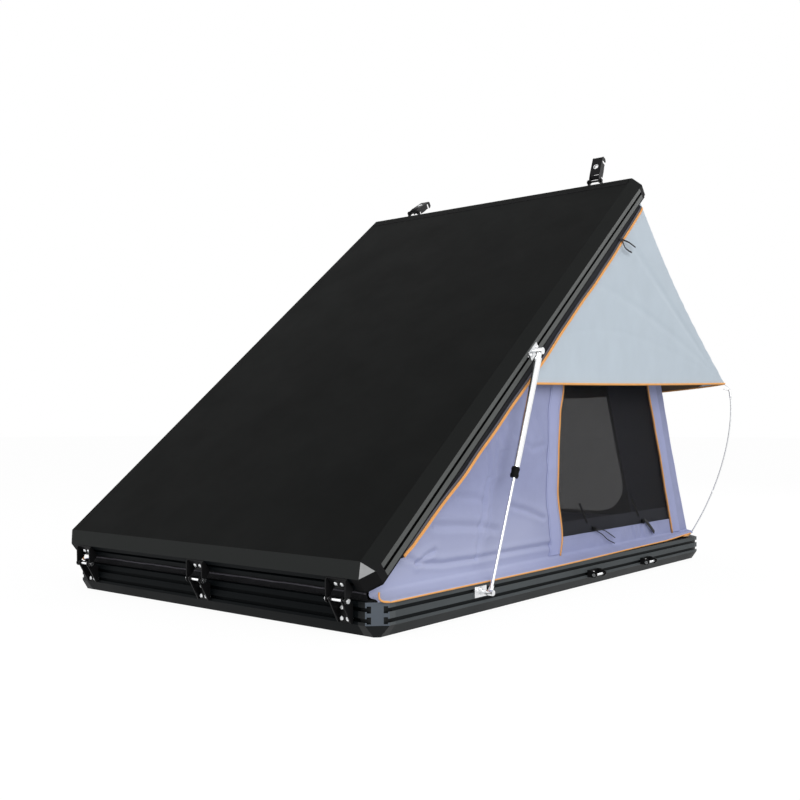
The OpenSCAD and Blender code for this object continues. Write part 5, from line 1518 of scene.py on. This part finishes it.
class TENT_OT_awning(bpy.types.Operator):
    """Stretches the awning from the lid to the spring rods, with its piping, facing and ties"""

    bl_idname = "tent.awning"
    bl_label = "Awning"

    def execute(self, context):
        sizes = context.scene.tent_sizes
        thickness, radius = sizes.awning_thickness, sizes.piping_radius * 1.5
        points = awning_point(*awning_patch("side", 100, AWNING_ROWS))
        uv = np.stack([run_along(points, 0), run_along(points, 1)], -1)
        for side_name, side in SIDES:
            piece = cloth(f"awning_{side_name}", sided(points, side), uv, thickness, "awning_cloth",
                          flip=side > 0)
            attach(piece, "awning", fold_into_lid, side, node="awning" if side > 0 else None)
            self.side_trims(side_name, side, radius)
        points = awning_point(*awning_patch("rear", 110, AWNING_ROWS))
        rear = cloth("awning_rear", points, np.stack([points[..., 0], run_along(points, 1)], -1), thickness,
                     "awning_cloth", flip=True)
        attach(rear, "awning", fold_into_lid, 0)
        self.rear_trims(radius, thickness)
        return {"FINISHED"}

    def side_trims(self, side_name, side, radius):
        """Piping on a side hem, and the two tails of its tie."""
        hem = awning_point(np.linspace(0, 1 + gore_edge(1.0), 120), 1.0) + [1.2 * MM, 0, 0]
        piping = swept(f"awning_piping_{side_name}", sided(hem, side), circle(radius), "piping")
        attach(piping, "awning", fold_into_lid, side)
        for number, knots in enumerate(TIE_TAILS):
            path = sided(smooth_path(knots, 40), side)
            tail = free_cord(f"tie_tail_{side_name}_{number + 1}", path, side, TIE_WIDTH, flat=True)
            attach(tail, "awning", fold_into_lid, side)

    def rear_trims(self, radius, thickness):
        """Piping on the rear hem, and the facing sewn inside it, whose dark brown is painted shade."""
        hem = awning_point(np.linspace(1 + gore_edge(1.0), 2 - gore_edge(1.0), 120), 1.0) + [0, 1.2 * MM, 0]
        piping = swept("awning_piping_rear", hem, circle(radius), "piping")
        attach(piping, "awning", fold_into_lid, 0)
        s, t = awning_patch("rear", 100, 6)
        points = awning_point(s, mix(0.955, 0.998, t)) - [0, 3 * MM, 0]
        facing = cloth("hem_facing_rear", points, points[..., (0, 2)], thickness, "hem_facing",
                       flip=True)
        attach(facing, "awning", fold_into_lid, 0)


class TENT_OT_rods(bpy.types.Operator):
    """Bends the spring rods that spread the awning's corners"""

    bl_idname = "tent.rods"
    bl_label = "Spring rods"

    def execute(self, context):
        radius = context.scene.tent_sizes.rod_radius
        path = rod_route()
        tip = path[-1]
        middle = len(path) // 3
        knots = [ROD_TIP + np.array([0, 0, 6]) * MM, tip + np.array([0, 0, 9]) * MM,
                 tip + np.array([1, 1, -4]) * MM, ROD_TIP - np.array([1, 0, 14]) * MM]
        for side_name, side in SIDES:
            lower = sided(path[:middle + 1], side)
            rod = swept(f"awning_rod_{side_name}", lower, circle(radius), "spring_steel")
            chord = sided(path[middle] - ROD_FOOT, side)
            attach(rod, "rod", fold, "base", chord, sided(ROD_FOOT, side), 0.02,
                   node=f"spring_rod_{side_name}")
            upper = swept("rod", sided(path[middle:], side), circle(radius), "spring_steel")
            ferrule = swept("ferrule", sided(path[-5:], side), circle(radius * 1.5), "moulded_black")
            loop = swept("loop", sided(smooth_path(knots, 24), side), circle(2 * MM, 8), "webbing")
            upper = joined(f"awning_rod_tip_{side_name}", [upper, ferrule, loop])
            attach(upper, "rod", fold_into_lid, side)
        return {"FINISHED"}


class TENT_OT_straps(bpy.types.Operator):
    """Adds the buckles and straps at the foot of the side windows"""

    bl_idname = "tent.straps"
    bl_label = "Straps and buckles"

    def execute(self, context):
        for side_name, side in SIDES:
            parts = [part for y, z in BUCKLES for part in self.buckle(side, y, z)]
            attach(joined(f"window_buckles_{side_name}", parts), "collar", fold_down)
            for name, width, flat, knots in WINDOW_CORDS:
                path = smooth_path([(WALL_X + out * MM, y, z) for out, y, z in knots], 40)
                cord = free_cord(f"window_{name}_{side_name}", sided(path, side), side, width * MM, flat)
                attach(cord, "collar", fold_down)
        return {"FINISHED"}

    def buckle(self, side, y, z):
        """Small moulded buckle with a bright ring."""
        parts = []
        for size, (out, along, up) in BUCKLE_BLOCKS:
            part = rounded_block("buckle", [v * MM for v in size], 1.8 * MM, "moulded_black")
            place = (side * (WALL_X + (6 + out) * MM), y + along * MM, z + up * MM)
            parts.append(moved(part, Matrix.Translation(place)))
        around = np.linspace(0, 2 * math.pi, 25)
        ring = places(WALL_X + 9.5 * MM, y + 6 * MM * np.cos(around), z + 6 * MM * np.sin(around))
        parts.append(swept("ring", sided(ring, side), circle(1.4 * MM, 8), "bright_plate", up=(side, 0, 0)))
        return parts


class TENT_OT_mattress(bpy.types.Operator):
    """Swells the mattress by a cloth simulation and sews its channels"""

    bl_idname = "tent.mattress"
    bl_label = "Mattress"

    def execute(self, context):
        sizes = context.scene.tent_sizes
        low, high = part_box("mattress")
        piece = self.slab(low, high)
        start = np.array([v.co for v in piece.data.vertices])
        self.swell(context.scene, piece, sizes.swell)
        step = np.array([v.co for v in piece.data.vertices]) - start
        length = np.linalg.norm(step, axis=1)[:, None]
        points = start + step * np.minimum(1, SWELL_LIMIT / np.maximum(length, 1e-9))
        points = self.sewn(points, low, high, sizes.bays)
        piece.data.vertices.foreach_set("co", points.astype(np.float32).ravel())
        piece.data.update()
        smooth = piece.modifiers.new("Smooth", "SUBSURF")
        smooth.levels = 1
        smooth.render_levels = 1
        settle(piece)
        self.cover_uv(piece)
        attach(piece, "mattress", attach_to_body, "base", node="mattress")
        return {"FINISHED"}

    def slab(self, low, high):
        """Slightly small rounded slab, remeshed to even faces."""
        size = [high[0] - low[0] - SLAB_EASE, high[1] - low[1] - SLAB_EASE, SLAB_DEPTH]
        block = rounded_block("mattress_pad", size, SLAB_ROUND, "mattress_cover", segments=3)
        middle = ((low[0] + high[0]) / 2, (low[1] + high[1]) / 2, low[2] + SLAB_MIDDLE)
        moved(block, Matrix.Translation(middle))
        remesh = block.modifiers.new("Remesh", "REMESH")
        remesh.mode = "VOXEL"
        remesh.voxel_size = SLAB_STEP
        settle(block)
        block.data.materials.clear()
        block.data.materials.append(finish_of("mattress_cover"))
        block.data.polygons.foreach_set("use_smooth", [True] * len(block.data.polygons))
        return block

    def swell(self, scene, piece, pressure):
        """Blows the cover up by inner pressure, without gravity."""
        cover = piece.modifiers.new("Cloth", "CLOTH").settings
        cover.use_pressure = True
        cover.uniform_pressure_force = pressure
        cover.effector_weights.gravity = 0.0
        cover.quality = 4
        for number in range(1, SWELL_FRAMES + 1):
            scene.frame_set(number)
        settle(piece)
        scene.frame_set(1)

    def sewn(self, points, low, high, bays):
        """Crown, channels across the bed and a flat underside."""
        x = (2 * points[:, 0] - low[0] - high[0]) / (high[0] - low[0])
        share = (points[:, 1] - low[1]) / (high[1] - low[1])
        along = arch(np.clip(share, 0, 1))
        inside = np.clip(1 - np.abs(x) ** 6, 0, 1) * np.clip(along * 6, 0, 1)
        upper = np.clip((points[:, 2] - low[2] - CROWN_FROM) / CROWN_OVER, 0, 1)
        crown = CROWN * np.sqrt(np.clip(1 - x * x, 0, 1)) * np.clip(along, 0, 1) ** 0.35
        channel = CHANNEL * np.abs(np.cos(np.pi * bays * share)) ** 12
        out = points.copy()
        out[:, 2] += upper * (crown - channel * inside)
        return np.clip(out, low, np.array(high) + [0, 0, CROWN_ROOM])

    def cover_uv(self, piece):
        layer = piece.data.uv_layers.get("UVMap") or piece.data.uv_layers.new(name="UVMap")
        for loop in piece.data.loops:
            co = piece.data.vertices[loop.vertex_index].co
            layer.data[loop.index].uv = (co.x, co.y + co.z)


class TENT_OT_liner(bpy.types.Operator):
    """Quilts the padded liner under the lid"""

    bl_idname = "tent.liner"
    bl_label = "Roof liner"

    def execute(self, context):
        half_x, half_y = HALF_W - LINER_EDGE, HALF_L - LINER_EDGE
        top = LID_TOP - 1.8 * MM
        n, m = 110, 170
        x = np.linspace(-half_x, half_x, n)[:, None] + np.zeros((1, m))
        y = np.linspace(-half_y, half_y, m)[None, :] + np.zeros((n, 1))
        puff = np.abs(arch((x + y) / QUILT_PITCH) * arch((x - y) / QUILT_PITCH)) ** 0.45
        edge = np.minimum(np.minimum(half_x - np.abs(x), half_y - np.abs(y)) / LINER_RIM, 1)
        lower = top - LINER_DEPTH * (0.45 + 0.55 * puff) * np.sqrt(np.clip(edge, 0.0, 1)) - 0.3 * MM
        points = np.vstack([places(x, y, z).reshape(-1, 3) for z in (lower, top)])
        faces = grid_faces(n, m, True)
        back = n * m
        faces += [tuple(back + v for v in f[::-1]) for f in faces]
        rim = [i * m for i in range(n)] + [(n - 1) * m + j for j in range(1, m)]
        rim += [i * m + m - 1 for i in range(n - 2, -1, -1)] + list(range(m - 2, 0, -1))
        for a, b in zip(rim, rim[1:] + rim[:1]):
            faces.append((b, back + b, back + a, a))
        piece = new_piece("roof_liner", opened(points), faces, "liner_cover", points[:, :2])
        attach(piece, "liner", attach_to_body, "lid", node="lid_liner")
        return {"FINISHED"}


class TENT_OT_fasteners(bpy.types.Operator):
    """Sets socket bolts with square nuts in the rails' slots, the lid's edge strip and the lever fittings"""

    bl_idname = "tent.fasteners"
    bl_label = "Fasteners"

    def execute(self, context):
        hinges, sides = (-HINGE_X, 0, HINGE_X), (-1, 1)
        end, wing = HALF_L + BRACKET_STAND, HALF_W + STRUT_STAND
        forward, backward, outward = (0, -1, 0), (0, 1, 0), (1, 0, 0)
        self.bolts("hinge_base", "base", forward, 7,
                   [(x + a * MM, -end, z) for x in hinges for a, z in HINGE_FOOT])
        self.bolts("hinge_lid", "lid", forward, 7,
                   [(x + a * MM, -end, LID_SLOT_Z) for x in hinges for a in HINGE_BOLTS])
        self.bolts("strut_base", "base", outward, 6,
                   [(s * wing, STRUT_FOOT_Y + a * MM, SLOT_HIGH_Z) for s in sides for a in STRUT_FOOT_BOLTS])
        self.bolts("strut_lid", "lid", outward, 6,
                   [(s * wing, STRUT_HEAD_Y + a * MM, LID_SLOT_Z) for s in sides for a in STRUT_HEAD_BOLTS])
        self.bolts("latch_bracket", "lid", backward, 7,
                   [(s * LATCH_X + a * MM, end, LID_SLOT_Z) for s in sides for a in LATCH_BOLTS])
        self.bolts("keeper", "base", backward, 7,
                   [(s * LATCH_X + a * MM, end, SLOT_HIGH_Z) for s in sides for a in KEEPER_BOLTS])
        self.bolts("ladder", "base", outward, 7, [(HALF_W + BRACKET_STAND, y, SLOT_LOW_Z) for y in LADDER_YS])
        self.lid_edge()
        for side_name, side in SIDES:
            self.lever_fittings(side_name, side)
        return {"FINISHED"}

    def bolts(self, holder, body, aim, through, spots):
        """Row of socket bolts through a holder, at places of the closed tent; the left mirrors the aim."""
        aims = [np.array(aim, float) * [math.copysign(1, spot[0]), 1, 1] for spot in spots]
        if body == "lid":
            spots, aims = opened(spots), opened_direction(aims)
        bolt = self.bolt(through)
        row = repeated(holder + "_socket_bolts", points_carrier(spots, aims), bolt, "bright_plate")
        bpy.data.objects.remove(bolt)
        attach(row, "bolt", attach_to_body, body, node=holder + "_bolts")

    def bolt(self, through):
        """Button head with a hexagonal socket, shank and nut, head on z = 0."""
        rings = [(radius * MM, z * MM, *hexagonal) for radius, z, *hexagonal in BOLT_HEAD]
        head = lathe_item("bolt_item", rings, 18, "bright_plate")
        radius, ends = SHANK_RADIUS * MM, (-through - NUT_HEIGHT, 0.5)
        shank = lathe_item("shank", [(radius, z * MM) for z in ends], 12, "bright_plate")
        size = [v * MM for v in (NUT_WIDTH, NUT_WIDTH, NUT_HEIGHT)]
        nut = rounded_block("nut", size, 0.6 * MM, "bright_plate", segments=1)
        moved(nut, Matrix.Translation((0, 0, (-through - NUT_HEIGHT / 2) * MM)))
        return joined("bolt_item", [head, shank, nut])

    def lid_edge(self):
        """Strip along the lid's tall edge, and in front of it a dark rubber strip that paints the shadow line
        of a groove.
        """
        for name, from_edge, width, height, finish, slot in LID_STRIPS:
            size = (2 * (HALF_W - 40 * MM), width * MM, height * MM)
            block = rounded_block(name, size, 0.3 * MM, finish, segments=1)
            y = HALF_L - LID_CHAMFER - (from_edge + width / 2) * MM
            middle = Vector(opened((0, y, LID_TOP + 0.55 * height * MM)))
            moved(block, Matrix.Translation(middle) @ Matrix.Rotation(OPEN_ANGLE, 4, "X"))
            attach(block, slot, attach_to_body, "lid")

    def lever_fittings(self, side_name, side):
        """Black spacer at a lever's foot and the bright eyelet in its hole."""
        pivot = Vector(opened((side * LATCH_X, *LATCH_PIVOT)))
        place = Matrix.Translation(pivot) @ Matrix.Rotation(OPEN_ANGLE - LEVER_LEAN[side_name], 4, "X")
        size = (LEVER_INSIDE, 13 * MM, 14 * MM)
        spacer = rounded_block(f"lever_spacer_{side_name}", size, 1.5 * MM, "moulded_black")
        moved(spacer, place @ Matrix.Translation((0, -1.5 * MM, 17 * MM)))
        around = np.linspace(0, 2 * math.pi, 33)
        ring = places(EYELET_RADIUS * np.cos(around), LEVER_HOLE[0] - 0.5 * MM,
                      LEVER_HOLE[1] + EYELET_RADIUS * np.sin(around))
        ring = np.array([place @ Vector(point) for point in ring])
        eyelet = swept(f"lever_eyelet_{side_name}", ring, circle(1.5 * MM, 8), "bright_plate",
                       up=place.to_3x3() @ Vector((0, -1, 0)))
        for piece, slot in ((spacer, "collar"), (eyelet, "bolt")):
            attach(piece, slot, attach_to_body, f"latch_{side_name}")


OPERATORS = (TENT_OT_stage, TENT_OT_finishes, TENT_OT_walls, TENT_OT_nets, TENT_OT_trims, TENT_OT_awning,
             TENT_OT_rods, TENT_OT_straps, TENT_OT_mattress, TENT_OT_liner, TENT_OT_fasteners)


class TENT_PT_panel(bpy.types.Panel):
    """Lists the tent's pieces in the sidebar"""

    bl_idname = "TENT_PT_panel"
    bl_label = "Roof top tent"
    bl_space_type = "VIEW_3D"
    bl_region_type = "UI"
    bl_category = "Tent"

    def draw(self, context):
        for operator in OPERATORS:
            self.layout.operator(operator.bl_idname)
        for group in (context.scene.tent_sizes, context.scene.tent_colours):
            for name in group.__annotations__:
                self.layout.prop(group, name)


CLASSES = (TentSizes, TentColours, *OPERATORS, TENT_PT_panel)


def register():
    for item in CLASSES:
        bpy.utils.register_class(item)
    bpy.types.Scene.tent_sizes = PointerProperty(type=TentSizes)
    bpy.types.Scene.tent_colours = PointerProperty(type=TentColours)


def unregister():
    del bpy.types.Scene.tent_colours
    del bpy.types.Scene.tent_sizes
    for item in reversed(CLASSES):
        bpy.utils.unregister_class(item)


def main():
    register()
    for operator in OPERATORS:
        getattr(bpy.ops.tent, operator.bl_idname.split(".")[1])()


if __name__ == "__main__":
    main()
